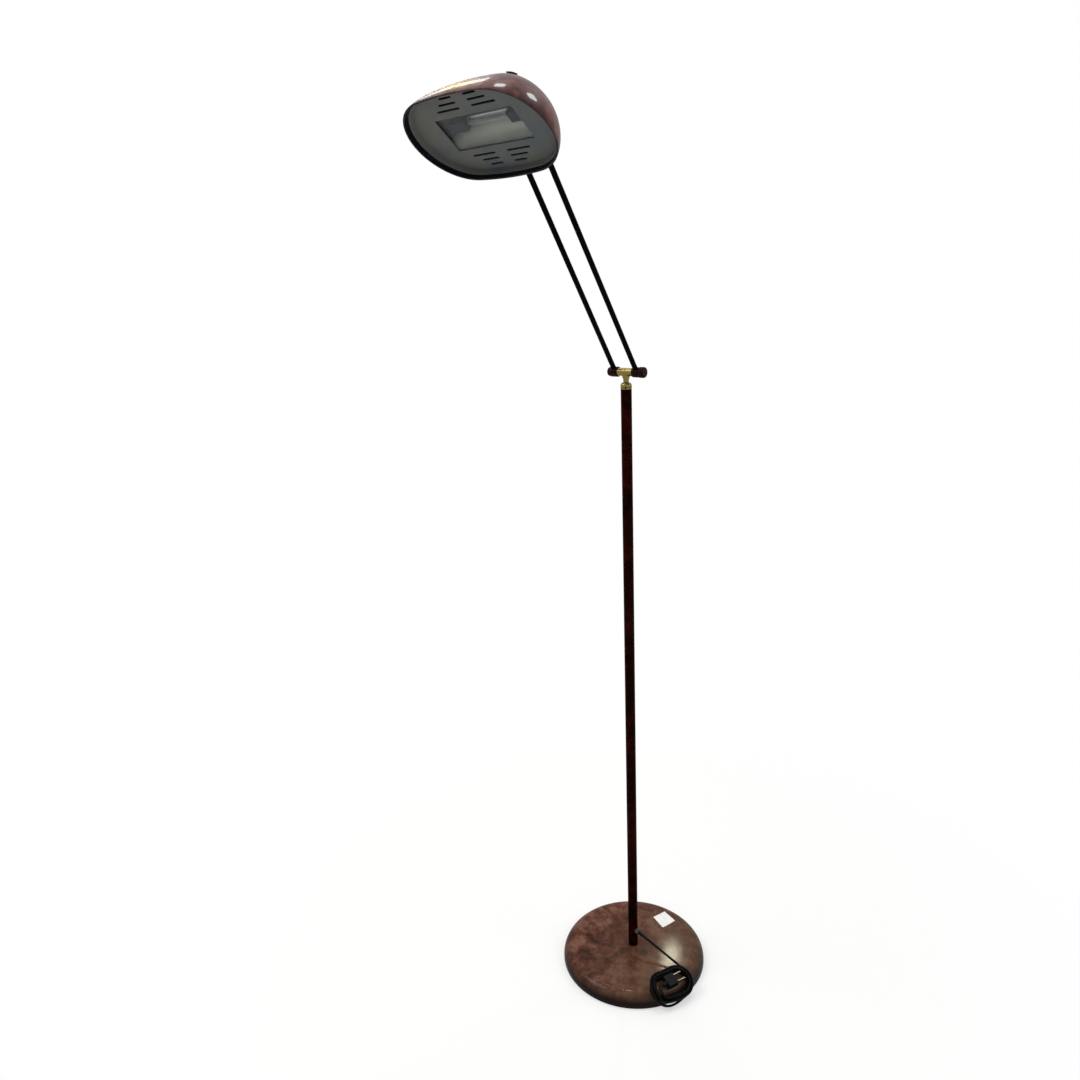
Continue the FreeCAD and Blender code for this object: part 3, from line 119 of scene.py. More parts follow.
class Graph:
    """A node tree that is written as expressions."""

    def __init__(self, tree: bpy.types.NodeTree) -> None:
        """Start from a tree with no nodes."""
        self.tree = tree
        self.tree.nodes.clear()

    def node(self, kind: str, settings: dict, values: dict, output: Union[int, str] = 0) -> Sock:
        """Add any node.

        Args:
            kind: The node's type.
            settings: Its properties, set first; "stops" fills a ramp.
            values: Numbers, colours or sockets for its inputs, by place or name.
            output: The place or name of the output to return.

        Returns:
            The chosen output, or an empty one where the node has none.
        """
        made = self.tree.nodes.new(kind)
        for name, setting in settings.items():
            if name == "stops":
                self._fill_ramp(made, setting)
            else:
                setattr(made, name, setting)
        for spot, value in values.items():
            if isinstance(value, Sock):
                self.tree.links.new(value.socket, made.inputs[spot])
            else:
                made.inputs[spot].default_value = value
        return Sock(self, made.outputs[output] if made.outputs else None)

    @staticmethod
    def _fill_ramp(ramp: bpy.types.Node, stops: Sequence[tuple[float, tuple]]) -> None:
        """Give a ramp its stops.

        Args:
            ramp: The ramp's node.
            stops: Places from 0 to 1, each with its colour.
        """
        elements = ramp.color_ramp.elements
        while len(elements) < len(stops):
            elements.new(1.0)
        for element, (place, colour) in zip(elements, stops):
            element.position = place
            element.color = colour

    def place(self, scale: Triple = (1.0, 1.0, 1.0)) -> Sock:
        """Return the object's coordinates in metres, scaled."""
        spot = self.node("ShaderNodeTexCoord", {}, {}, "Object")
        return self.node("ShaderNodeMapping", {}, {"Vector": spot, "Scale": scale})

    def head_place(self) -> Sock:
        """Turn the object's coordinates into the head's own frame.

        X runs across the head, Y from its front to its back and Z up from its
        face, whose middle is the origin.

        Returns:
            The turned and moved coordinates in metres.
        """
        tilt = math.radians(HEAD_TILT)
        _, back, level = HEAD_PIVOT
        shift = (
            0.0,
            HEAD_PIVOT_BACK - back * math.cos(tilt) + level * math.sin(tilt),
            HEAD_PIVOT_LEVEL - back * math.sin(tilt) - level * math.cos(tilt),
        )
        spot = self.node("ShaderNodeTexCoord", {}, {}, "Object")
        return self.node("ShaderNodeMapping", {}, {
            "Vector": spot, "Rotation": (tilt, 0.0, 0.0), "Location": shift,
        })

    def axis(self, spot: Sock, letter: str) -> Sock:
        """Return one coordinate of a place."""
        return self.node("ShaderNodeSeparateXYZ", {}, {0: spot}, letter)

    def noise(self, spot: Sock, size: float, detail: float = 3.0, warp: float = 0.0) -> Sock:
        """Return cloud noise whose lumps are about size metres across."""
        return self.node("ShaderNodeTexNoise", {}, {
            "Vector": spot, "Scale": 1.0 / size, "Detail": detail,
            "Roughness": NOISE_ROUGHNESS, "Distortion": warp,
        })

    def ramp(self, factor: Sock, stops: Sequence[tuple[float, tuple]]) -> Sock:
        """Return a colour that runs through stops as the factor goes from 0 to 1."""
        return self.node("ShaderNodeValToRGB", {"stops": stops}, {0: factor})

    def mix(self, factor: Value, first: Value, second: Value) -> Sock:
        """Return a colour between two colours."""
        values = {0: factor, 6: first, 7: second}
        return self.node("ShaderNodeMix", {"data_type": "RGBA"}, values, 2)

    def span(self, factor: Sock, low: float, high: float) -> Sock:
        """Return 0 below low, 1 above high and a straight rise between them."""
        return self.node("ShaderNodeMapRange", {"clamp": True}, {
            0: factor, 1: low, 2: high, 3: 0.0, 4: 1.0,
        })

    def tones(self, factor: Sock, reach: Reach, first: Colour, second: Colour) -> Sock:
        """Return a tone that goes from the first to the second across a reach of the factor."""
        return self.mix(self.span(factor, *reach), linear(first), linear(second))

    def bump(self, height: Sock, depth: float, strength: float = 1.0) -> Sock:
        """Return a normal bent by a height, with depth in metres."""
        return self.node("ShaderNodeBump", {}, {
            "Height": height, "Distance": depth, "Strength": strength,
        })

    def seen(self) -> Sock:
        """Tell the rays that show a surface from those that it lights.

        Returns:
            1 for rays from the camera, from gloss and through glass, and 0 for the rest.
        """
        camera, gloss, glass = (
            self.node("ShaderNodeLightPath", {}, {}, ray)
            for ray in ("Is Camera Ray", "Is Glossy Ray", "Is Transmission Ray")
        )
        return camera.largest(gloss).largest(glass)


def linear(colour: Colour) -> tuple[float, float, float, float]:
    """Turn an 8-bit screen colour into the linear one that shaders take.

    A share s becomes s / 12.92 up to 0.04045, and ((s + 0.055) / 1.055) ** 2.4 above it.

    Args:
        colour: Red, green and blue from 0 to 255.

    Returns:
        Red, green and blue from 0 to 1, and an alpha of 1.
    """
    share = np.array(colour) / 255.0
    lit = np.where(share <= 0.04045, share / 12.92, ((share + 0.055) / 1.055) ** 2.4)
    return (float(lit[0]), float(lit[1]), float(lit[2]), 1.0)


# Finishes
class Finish(Protocol):
    """Anything that works out one surface's shader."""

    def shade(self, graph: Graph) -> dict:
        """Return the values and sockets of the surface's Principled shader."""


@dataclass(frozen=True)
class MarbledLacquer:
    """Cloudy paint in three tones under clear lacquer."""

    deep: Colour
    ground: Colour
    cloud: Colour
    patch: float
    fleck: float
    gloss: float
    coat: float
    shine: float
    coat_gloss: float = 0.06
    fleck_share: float = 0.38
    fleck_dulling: float = 0.16
    stops: Triple = (0.36, 0.5, 0.64)
    ripple: float = 2.5 * MM
    ripple_depth: float = 0.02 * MM

    def paint(self, graph: Graph, spot: Sock, flecks: Sock) -> Sock:
        """Blend large patches with small flecks.

        Args:
            graph: The material's graph.
            spot: The object's coordinates.
            flecks: The small noise.

        Returns:
            The paint's colour.
        """
        patches = graph.noise(spot, self.patch, warp=1.4)
        blend = patches * (1.0 - self.fleck_share) + flecks * self.fleck_share
        tones = (self.deep, self.ground, self.cloud)
        return graph.ramp(blend, [(stop, linear(tone)) for stop, tone in zip(self.stops, tones)])

    def shade(self, graph: Graph) -> dict:
        """Lay the paint under lacquer that ripples slightly.

        Args:
            graph: The material's graph.

        Returns:
            The shader's values and sockets.
        """
        spot = graph.place()
        flecks = graph.noise(spot, self.fleck, detail=5.0, warp=0.6)
        ripple = graph.noise(spot, self.ripple, detail=2.0)
        return {
            "Base Color": self.paint(graph, spot, flecks),
            "Roughness": self.gloss + flecks * self.fleck_dulling,
            "Normal": graph.bump(ripple, self.ripple_depth),
            "Coat Weight": self.coat,
            "Coat Roughness": self.coat_gloss,
            "Specular IOR Level": self.shine,
        }


@dataclass(frozen=True)
class BaseLacquer(MarbledLacquer):
    """Marbled lacquer with a greyer painted glare towards +X and painted shade down its edge."""

    # The drift colour is a painted glare: a greyer tone mixed in towards +X.
    drift: Colour = (88, 70, 52)
    painted_glare_share: float = 0.5
    painted_glare_low: float = -44 * MM
    painted_glare_high: float = 110 * MM
    painted_glare_fray: float = 60 * MM
    # The rim tone is painted shade on the side below the rounded edge.
    rim: Colour = (16, 3, 1)
    rim_shade_low: float = 13 * MM
    rim_shade_high: float = 28 * MM
    rim_shade_fray: float = 4 * MM

    def paint(self, graph: Graph, spot: Sock, flecks: Sock) -> Sock:
        """Mix the painted glare in towards +X, and the painted shade of the rim below the rounded
        edge.

        Args:
            graph: The material's graph.
            spot: The object's coordinates.
            flecks: The small noise, which frays both borders.

        Returns:
            The paint's colour.
        """
        marbled = super().paint(graph, spot, flecks)
        across = graph.axis(spot, "X") + flecks * self.painted_glare_fray
        share = graph.span(across, self.painted_glare_low, self.painted_glare_high) * self.painted_glare_share
        # Painted shade: the rim tone covers everything below the rounded edge.
        level = graph.axis(spot, "Z") + flecks * self.rim_shade_fray
        lit = graph.span(level, self.rim_shade_low, self.rim_shade_high)
        return graph.mix(lit, linear(self.rim), graph.mix(share, marbled, linear(self.drift)))


@dataclass(frozen=True)
class ShellLacquer(MarbledLacquer):
    """Marbled lacquer with painted blue-black shade towards the lamp shade's rim."""

    # The rim tone is painted shade: a blue-black band along the lower edge that widens at the
    # back and at -X.
    rim: Colour = (15, 14, 23)
    rim_shade_low: float = -15 * MM
    rim_shade_high: float = -5 * MM
    rim_shade_fray: float = 6 * MM
    rise: float = 15 * MM
    rise_low: float = -60 * MM
    rise_high: float = 50 * MM
    rise_slant: float = -0.6

    def paint(self, graph: Graph, spot: Sock, flecks: Sock) -> Sock:
        """Mix the marbling in above the painted rim shade, whose band widens at the back and at
        -X.

        Args:
            graph: The material's graph.
            spot: The object's coordinates.
            flecks: The small noise, which frays the border.

        Returns:
            The paint's colour.
        """
        marbled = super().paint(graph, spot, flecks)
        place = graph.head_place()
        side = graph.axis(place, "Y") + graph.axis(place, "X") * self.rise_slant
        rise = graph.span(side, self.rise_low, self.rise_high) * self.rise
        level = graph.axis(place, "Z") + flecks * self.rim_shade_fray - rise
        return graph.mix(
            graph.span(level, self.rim_shade_low, self.rim_shade_high), linear(self.rim), marbled)


@dataclass(frozen=True)
class Enamel:
    """Stoved paint on sheet metal, with an orange-peel skin."""

    colour: Colour
    shade_colour: Colour
    roughness: float
    peel: float
    shine: float = 0.5
    peel_depth: float = 0.05 * MM
    drift: float = 60 * MM
    dust: float = 9 * MM
    dust_share: float = 0.3
    dust_dulling: float = 0.18
    shade_reach: Reach = (0.5, 0.8)

    def shade(self, graph: Graph) -> dict:
        """Drift between two close tones over peel that dimples the skin.

        Args:
            graph: The material's graph.

        Returns:
            The shader's values and sockets.
        """
        spot = graph.place()
        drift = graph.noise(spot, self.drift, detail=2.0)
        peel = graph.noise(spot, self.peel, detail=2.0)
        dust = graph.noise(spot, self.dust, detail=6.0, warp=0.5)
        return {
            "Base Color": graph.tones(
                drift + dust * self.dust_share, self.shade_reach, self.colour, self.shade_colour),
            "Roughness": self.roughness + dust * self.dust_dulling,
            "Normal": graph.bump(peel, self.peel_depth),
            "Specular IOR Level": self.shine,
        }


@dataclass(frozen=True)
class BareMetal:
    """Plain or plated metal with fine turning marks across one axis."""

    colour: Colour
    tarnish: Colour
    roughness: float = 0.28
    tarnish_start: float = 0.56
    tarnish_full: float = 0.75
    stain: float = 7 * MM
    stain_dulling: float = 0.12
    mark: float = 0.9 * MM
    mark_squeeze: Triple = (1.0, 1.0, 12.0)
    mark_depth: float = 0.015 * MM
    mark_dulling: float = 0.06

    def shade(self, graph: Graph) -> dict:
        """Lay stretched marks over slow tarnish.

        Args:
            graph: The material's graph.

        Returns:
            The shader's values and sockets.
        """
        marks = graph.noise(graph.place(self.mark_squeeze), self.mark)
        stain = graph.noise(graph.place(), self.stain, detail=4.0, warp=0.8)
        reach = (self.tarnish_start, self.tarnish_full)
        return {
            "Base Color": graph.tones(stain, reach, self.colour, self.tarnish),
            "Metallic": 1.0,
            "Roughness": self.roughness + stain * self.stain_dulling + marks * self.mark_dulling,
            "Normal": graph.bump(marks, self.mark_depth),
        }


@dataclass(frozen=True)
class Moulded:
    """Moulded plastic, rubber or ceramic with a fine eroded skin."""

    colour: Colour
    worn: Colour
    roughness: float
    skin: float = 0.5 * MM
    depth: float = 0.03 * MM
    shine: float = 0.4
    wear: float = 12 * MM
    wear_reach: Reach = (0.5, 0.8)
    wear_dulling: float = 0.14

    def shade(self, graph: Graph) -> dict:
        """Speckle the colour slightly and roughen the skin.

        Args:
            graph: The material's graph.

        Returns:
            The shader's values and sockets.
        """
        spot = graph.place()
        skin = graph.noise(spot, self.skin)
        wear = graph.noise(spot, self.wear, detail=5.0, warp=0.4)
        return {
            "Base Color": graph.tones(wear, self.wear_reach, self.colour, self.worn),
            "Roughness": self.roughness + wear * self.wear_dulling,
            "Normal": graph.bump(skin, self.depth),
            "Specular IOR Level": self.shine,
        }


@dataclass(frozen=True)
class DimpledSheet:
    """Hammered reflector sheet, bright at its back, with painted shade darkening its front."""

    colour: Colour
    haze_colour: Colour
    # Painted shade for the reflector's front half.
    front_shade_colour: Colour
    metal: float = 0.5
    roughness: float = 0.44
    dimple: float = 2.6 * MM
    dimple_depth: float = 0.25 * MM
    dimple_strength: float = 0.6
    dimple_softness: float = 0.6
    haze: float = 18 * MM
    haze_dulling: float = 0.16
    bright_low: float = 8 * MM
    bright_high: float = 20.8 * MM

    def shade(self, graph: Graph) -> dict:
        """Dimple the sheet with round cells, and paint shade on its front that gives way to the
        bright sheet on its way back.

        Args:
            graph: The material's graph.

        Returns:
            The shader's values and sockets.
        """
        spot = graph.place()
        cells = graph.node("ShaderNodeTexVoronoi", {"feature": "SMOOTH_F1"}, {
            "Vector": spot, "Scale": 1.0 / self.dimple, "Smoothness": self.dimple_softness,
        })
        haze = graph.noise(spot, self.haze)
        way_back = graph.axis(graph.head_place(), "Y")
        bright = graph.mix(haze, linear(self.colour), linear(self.haze_colour))
        return {
            "Base Color": graph.mix(
                graph.span(way_back, self.bright_low, self.bright_high),
                linear(self.front_shade_colour), bright,
            ),
            "Metallic": self.metal,
            "Roughness": self.roughness + haze * self.haze_dulling,
            "Normal": graph.bump(cells, self.dimple_depth, self.dimple_strength),
        }


@dataclass(frozen=True)
class ClearGlass:
    """Clear glass with a faint smear of dust."""

    tint: Colour = (246, 249, 248)
    roughness: float = 0.02
    bend: float = 1.47
    smear: float = 14 * MM
    smear_low: float = 0.5
    smear_high: float = 0.8
    smear_dulling: float = 0.06

    def shade(self, graph: Graph) -> dict:
        """Let smears raise the roughness a little.

        Args:
            graph: The material's graph.

        Returns:
            The shader's values and sockets.
        """
        smear = graph.noise(graph.place(), self.smear, detail=4.0, warp=1.0)
        dulled = graph.span(smear, self.smear_low, self.smear_high) * self.smear_dulling
        return {
            "Base Color": linear(self.tint),
            "Roughness": self.roughness + dulled,
            "Transmission Weight": 1.0,
            "IOR": self.bend,
        }


@dataclass(frozen=True)
class Paper:
    """Plain white sticker paper with soft fibres."""

    colour: Colour = (240, 240, 238)
    shade_colour: Colour = (222, 223, 224)
    roughness: float = 0.62
    fibre: float = 0.8 * MM
    fibre_squeeze: Triple = (1.0, 2.5, 1.0)
    fibre_depth: float = 0.03 * MM
    fibre_share: float = 0.3
    fibre_dulling: float = 0.15
    blotch: float = 9 * MM
    blotch_reach: Reach = (0.55, 0.85)

    def shade(self, graph: Graph) -> dict:
        """Mottle the white with fibres.

        Args:
            graph: The material's graph.

        Returns:
            The shader's values and sockets.
        """
        spot = graph.place(self.fibre_squeeze)
        fibres = graph.noise(spot, self.fibre, detail=5.0, warp=0.5)
        blotch = graph.noise(spot, self.blotch, detail=2.0)
        mottle = blotch + fibres * self.fibre_share
        return {
            "Base Color": graph.tones(mottle, self.blotch_reach, self.colour, self.shade_colour),
            "Roughness": self.roughness + fibres * self.fibre_dulling,
            "Normal": graph.bump(fibres, self.fibre_depth),
        }


class Dress(Enum):
    """The finishes that the lamp's pieces wear."""

    BASE_LACQUER = BaseLacquer(
        (46, 22, 13), (84, 47, 35), (114, 80, 64), patch=46 * MM, fleck=11 * MM,
        gloss=0.3, coat=0.16, shine=0.02, coat_gloss=0.09,
    )
    POLE_LACQUER = MarbledLacquer(
        (8, 1, 0), (24, 3, 1), (46, 9, 4), patch=70 * MM, fleck=12 * MM,
        gloss=0.34, coat=0.0, shine=0.01,
    )
    SHELL_LACQUER = ShellLacquer(
        (50, 20, 18), (80, 39, 36), (108, 68, 60), patch=34 * MM, fleck=9 * MM,
        gloss=0.3, coat=0.16, shine=0.03, coat_gloss=0.03,
    )
    KNUCKLE_LACQUER = MarbledLacquer(
        (14, 2, 2), (28, 7, 6), (42, 14, 12), patch=14 * MM, fleck=4 * MM,
        gloss=0.3, coat=0.0, shine=0.04,
    )
    TRAY_ENAMEL = Enamel((86, 87, 82), (72, 78, 82), roughness=0.5, peel=1.3 * MM, shine=0.25)
    BLACK_ENAMEL = Enamel((2, 2, 3), (6, 6, 6), roughness=0.4, peel=0.9 * MM, shine=0.02)
    CAST_IRON = Enamel((38, 38, 40), (58, 52, 48), roughness=0.62, peel=0.8 * MM)
    BRASS = BareMetal((122, 109, 62), (58, 48, 20), roughness=0.16, tarnish_start=0.52)
    BRIGHT_STEEL = BareMetal((176, 178, 180), (120, 116, 110))
    PLATED_BLADE = BareMetal((156, 152, 138), (112, 106, 92), roughness=0.3)
    TUNGSTEN = BareMetal((96, 94, 92), (70, 68, 66), roughness=0.4)
    # The third colour is painted shade on the reflector's front.
    REFLECTOR_SHEET = DimpledSheet((200, 198, 186), (176, 176, 166), (26, 33, 48))
    LENS_GLASS = ClearGlass(bend=1.2)
    LAMP_GLASS = ClearGlass(tint=(250, 250, 250), roughness=0.01)
    # The lamp's holders and ends get a dark blue-black, painted shade for their place deep inside
    # the head.
    CERAMIC = Moulded((22, 26, 42), (15, 17, 30), roughness=0.55, skin=0.4 * MM, shine=0.1)
    FOOT_RUBBER = Moulded(
        (34, 34, 35), (52, 51, 50), roughness=0.7, skin=0.8 * MM, depth=0.06 * MM)
    CORD_VINYL = Moulded(
        (2, 2, 2), (6, 6, 5), roughness=0.24, skin=1.6 * MM, depth=0.02 * MM, shine=0.06)
    BUSHING_GREY = Moulded((62, 59, 56), (46, 44, 42), roughness=0.5, shine=0.2)
    PLUG_BLACK = Moulded((7, 7, 7), (14, 14, 13), roughness=0.34, shine=0.12)
    SWITCH_BLACK = Moulded((16, 16, 17), (28, 27, 26), roughness=0.38, shine=0.25)
    STICKER_PAPER = Paper()

    @functools.cache
    def material(self) -> bpy.types.Material:
        """Make this finish's material the first time that it is asked for.

        Returns:
            The material.
        """
        made = bpy.data.materials.new(self.name.lower())
        made.use_nodes = True
        graph = Graph(made.node_tree)
        finish: Finish = self.value
        shader = graph.node("ShaderNodeBsdfPrincipled", {}, finish.shade(graph))
        graph.node("ShaderNodeOutputMaterial", {}, {"Surface": shader})
        return made


# Surfaces as grids
def add_object(name: str, mesh: bpy.types.Mesh, dress: Dress) -> bpy.types.Object:
    """Link a mesh to the scene with one finish and smooth faces.

    Args:
        name: The object's name.
        mesh: Its mesh.
        dress: Its finish.

    Returns:
        The object.
    """
    made = bpy.data.objects.new(name, mesh)
    bpy.context.scene.collection.objects.link(made)
    mesh.materials.append(dress.material())
    mesh.polygons.foreach_set("use_smooth", np.ones(len(mesh.polygons), dtype=bool))
    return made


def grid_mesh(
    name: str, points: np.ndarray, ring: bool = True, caps: bool = True,
) -> bpy.types.Mesh:
    """Make a mesh from rows of points.

    Face (i, j) joins points (i, j), (i, j + 1), (i + 1, j + 1) and (i + 1, j),
    so with rows that run along a tube and columns that run round it against
    the clock the faces point outwards.

    Args:
        name: The mesh's name.
        points: An array of rows by columns by three.
        ring: Whether each row closes on itself.
        caps: Whether the first and last rows are filled with one face each.

    Returns:
        The mesh.
    """
    rows, columns, _ = points.shape
    number = np.arange(rows * columns).reshape(rows, columns)
    right = np.roll(number, -1, axis=1) if ring else number[:, 1:]
    left = number if ring else number[:, :-1]
    quads = np.stack((left[:-1], right[:-1], right[1:], left[1:]), axis=-1).reshape(-1, 4)
    faces = quads.tolist()
    if caps:
        faces += [number[0, ::-1].tolist(), number[-1].tolist()]
    mesh = bpy.data.meshes.new(name)
    mesh.from_pydata(points.reshape(-1, 3).tolist(), [], faces)
    mesh.update()
    return mesh


def tube(line: np.ndarray, radii: np.ndarray, hint: Triple, sides: int = 24) -> np.ndarray:
    """Carry a circle along a line.

    Point (i, j) = line(i) + radius(i) * (cos a * side(i) + sin a * up(i)), with
    a = 2 pi j / sides, side = tangent x hint made one long and up = tangent x side.

    Args:
        line: Points by three.
        radii: A radius for each point.
        hint: A direction that the line never runs along.
        sides: How many points go round.

    Returns:
        An array of points by sides by three.
    """
    tangent = np.gradient(line, axis=0)
    tangent /= np.linalg.norm(tangent, axis=1, keepdims=True)
    side = np.cross(tangent, np.array(hint))
    side /= np.linalg.norm(side, axis=1, keepdims=True)
    up = np.cross(tangent, side)
    angle = np.linspace(0.0, 2.0 * math.pi, sides, endpoint=False)[None, :, None]
    spoke = np.cos(angle) * side[:, None, :] + np.sin(angle) * up[:, None, :]
    return line[:, None, :] + radii[:, None, None] * spoke


def ribbed_taper(
    share: np.ndarray, wide: float, narrow: float, ribs: int, depth: float,
) -> np.ndarray:
    """Work out the radius along a strain relief.

    radius = wide + (narrow - wide) * share ** 0.8 - depth * groove, where groove
    is -1.8 sin(2 pi * ribs * share), cut off below 0 and above 1.

    Args:
        share: Places along it from 0 to 1.
        wide: Its radius at 0.
        narrow: Its radius at 1.
        ribs: How many ribs it has.
        depth: The depth of the grooves between them.

    Returns:
        A radius for each place.
    """
    groove = np.clip(-1.8 * np.sin(2.0 * math.pi * ribs * share), 0.0, 1.0)
    return wide + (narrow - wide) * share ** 0.8 - depth * groove


def smooth_step(share: np.ndarray) -> np.ndarray:
    """Return 0 up to a share s of 0, 1 from 1 on, and 3 s^2 - 2 s^3 between."""
    held = np.clip(share, 0.0, 1.0)
    return held * held * (3 - 2 * held)


# Sub-assemblies
@dataclass
class SubAssembly:
    """CAD nodes that stand together, each with its finish."""

    title: str
    nodes: dict[str, Dress]

    def dress(self) -> None:
        """Give every node's slots its finish."""
        for name, dress in self.nodes.items():
            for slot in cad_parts[name].material_slots:
                slot.material = dress.material()
            log.info("%s: dressed %s as %s", self.title, name, dress.name.lower())

    def build(self) -> list[bpy.types.Object]:
        """Make and return the pieces that the solids leave out."""
        return []


@dataclass
class Base(SubAssembly):
    """Weighted round base with a blank paper sticker left on its top."""

    title: str = "base"
    nodes: dict[str, Dress] = field(default_factory=lambda: {
        "base_cover": Dress.BASE_LACQUER,
        "base_plate": Dress.BRIGHT_STEEL,
        "base_weight": Dress.CAST_IRON,
        "foot_ring": Dress.FOOT_RUBBER,
        "base_bolt": Dress.BRIGHT_STEEL,
        "base_washer": Dress.BRIGHT_STEEL,
    })
    top: float = 26.0 * MM
    sticker_corners: tuple[tuple[float, float], ...] = (
        (-7.6 * MM, 78.9 * MM), (1.3 * MM, 104.0 * MM),
        (29.8 * MM, 94.4 * MM), (22.0 * MM, 65.1 * MM),
    )
    sticker_grid: tuple[int, int] = (28, 24)
    sticker_lift: float = 0.08 * MM
    sticker_curl: float = 0.9 * MM
    sticker_paper: float = 0.12 * MM

    def build(self) -> list[bpy.types.Object]:
        """Make the sticker."""
        return [self.sticker()]

    def sticker(self) -> bpy.types.Object:
        """Lay a sheet between four corners.

        (x, y) is the corners' bilinear blend at (u, v), and its height is
        top + lift + curl * u^6 * (1 - v)^4 + curl / 2 * v^8, so the sheet lies
        flat but for one corner and one edge that have come away.

        Returns:
            The sticker.
        """
        first, second, third, fourth = (np.array(corner) for corner in self.sticker_corners)
        shares = [np.linspace(0, 1, count) for count in self.sticker_grid]
        u, v = np.meshgrid(*shares, indexing="ij")
        across, along = u[..., None], v[..., None]
        flat = (first * (1 - across) + fourth * across) * (1 - along) + (
            second * (1 - across) + third * across) * along
        curl = self.sticker_curl * (u ** 6 * (1 - v) ** 4 + 0.5 * v ** 8)
        points = np.dstack((flat, self.top + self.sticker_lift + curl))
        made = add_object(
            "paper_sticker",
            grid_mesh("paper_sticker", points, ring=False, caps=False),
            Dress.STICKER_PAPER,
        )
        thickness = made.modifiers.new("paper", "SOLIDIFY")
        thickness.thickness = self.sticker_paper
        thickness.offset = 1.0
        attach(made, "stand")
        return made


@dataclass
class Pole(SubAssembly):
    """Pole of three screwed tubes, with its cap."""

    title: str = "pole"
    nodes: dict[str, Dress] = field(default_factory=lambda: {
        "pole_foot_plug": Dress.BRIGHT_STEEL,
        "pole_lower": Dress.POLE_LACQUER,
        "pole_middle": Dress.POLE_LACQUER,
        "pole_upper": Dress.POLE_LACQUER,
        "pole_coupler_1": Dress.BRIGHT_STEEL,
        "pole_coupler_2": Dress.BRIGHT_STEEL,
        "pole_cap": Dress.BRASS,
        "cap_grub_screw": Dress.BLACK_ENAMEL,
    })


@dataclass
class Joints(SubAssembly):
    """Swivel and the two tilting knuckles."""

    title: str = "joints"
    nodes: dict[str, Dress] = field(default_factory=lambda: {
        "swivel_hub": Dress.BRASS,
        "swivel_washer": Dress.BRIGHT_STEEL,
        "swivel_nut": Dress.BRIGHT_STEEL,
        "arm_barrel_left": Dress.KNUCKLE_LACQUER,
        "arm_barrel_right": Dress.KNUCKLE_LACQUER,
        "arm_pivot_bolt": Dress.KNUCKLE_LACQUER,
        "arm_knob": Dress.KNUCKLE_LACQUER,
        "arm_rod_left": Dress.BLACK_ENAMEL,
        "arm_rod_right": Dress.BLACK_ENAMEL,
        "head_barrel_left": Dress.KNUCKLE_LACQUER,
        "head_barrel_right": Dress.KNUCKLE_LACQUER,
        "head_pivot_bolt": Dress.KNUCKLE_LACQUER,
        "head_knob": Dress.KNUCKLE_LACQUER,
        "head_hub": Dress.BRASS,
        "head_stem_nut": Dress.BRIGHT_STEEL,
    })


@dataclass
class Head(SubAssembly):
    """Oval shade with its face tray, window, reflector and switch."""

    title: str = "head"
    nodes: dict[str, Dress] = field(default_factory=lambda: {
        "head_shell": Dress.SHELL_LACQUER,
        "face_tray": Dress.TRAY_ENAMEL,
        "lens_glass": Dress.LENS_GLASS,
        "reflector": Dress.REFLECTOR_SHEET,
        **{f"reflector_screw_{number}": Dress.BRIGHT_STEEL for number in range(1, 5)},
        "lamp_tube": Dress.LAMP_GLASS,
        "lamp_end_left": Dress.CERAMIC,
        "lamp_end_right": Dress.CERAMIC,
        "lamp_holder_left": Dress.CERAMIC,
        "lamp_holder_right": Dress.CERAMIC,
        "switch_body": Dress.SWITCH_BLACK,
        "switch_button": Dress.SWITCH_BLACK,
    })
    filament_reach: float = 0.84
    filament_radius: float = 0.9 * MM
    filament_wire: float = 0.16 * MM
    filament_ease: float = 0.15
    filament_turns: int = 34
    filament_points: int = 14
    filament_sides: int = 6

    def build(self) -> list[bpy.types.Object]:
        """Make the filament inside the lamp's tube."""
        return [self.filament()]

    def filament(self) -> bpy.types.Object:
        """Wind a wire along the tube's middle line.

        At share t along it the wire is at x = start + length * t and at
        radius * (cos, sin) of 2 pi * turns * t, with the radius eased to
        nothing at both ends by sin(pi t) ** ease.

        Returns:
            The filament.
        """
        low, high = (np.array(corner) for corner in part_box("lamp_tube"))
        middle, half = (low + high) / 2, (high - low)[0] / 2 * self.filament_reach
        share = np.linspace(0.0, 1.0, self.filament_turns * self.filament_points)
        radius = self.filament_radius * np.sin(math.pi * share) ** self.filament_ease
        angle = 2.0 * math.pi * self.filament_turns * share
        line = middle + np.stack((
            half * (2.0 * share - 1.0), radius * np.cos(angle), radius * np.sin(angle),
        ), axis=1)
        wire = np.full(len(line), self.filament_wire)
        skin = tube(line, wire, (1.0, 0.0, 0.0), self.filament_sides)
        made = add_object("lamp_filament", grid_mesh("lamp_filament", skin), Dress.TUNGSTEN)
        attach(made, "head")
        return made


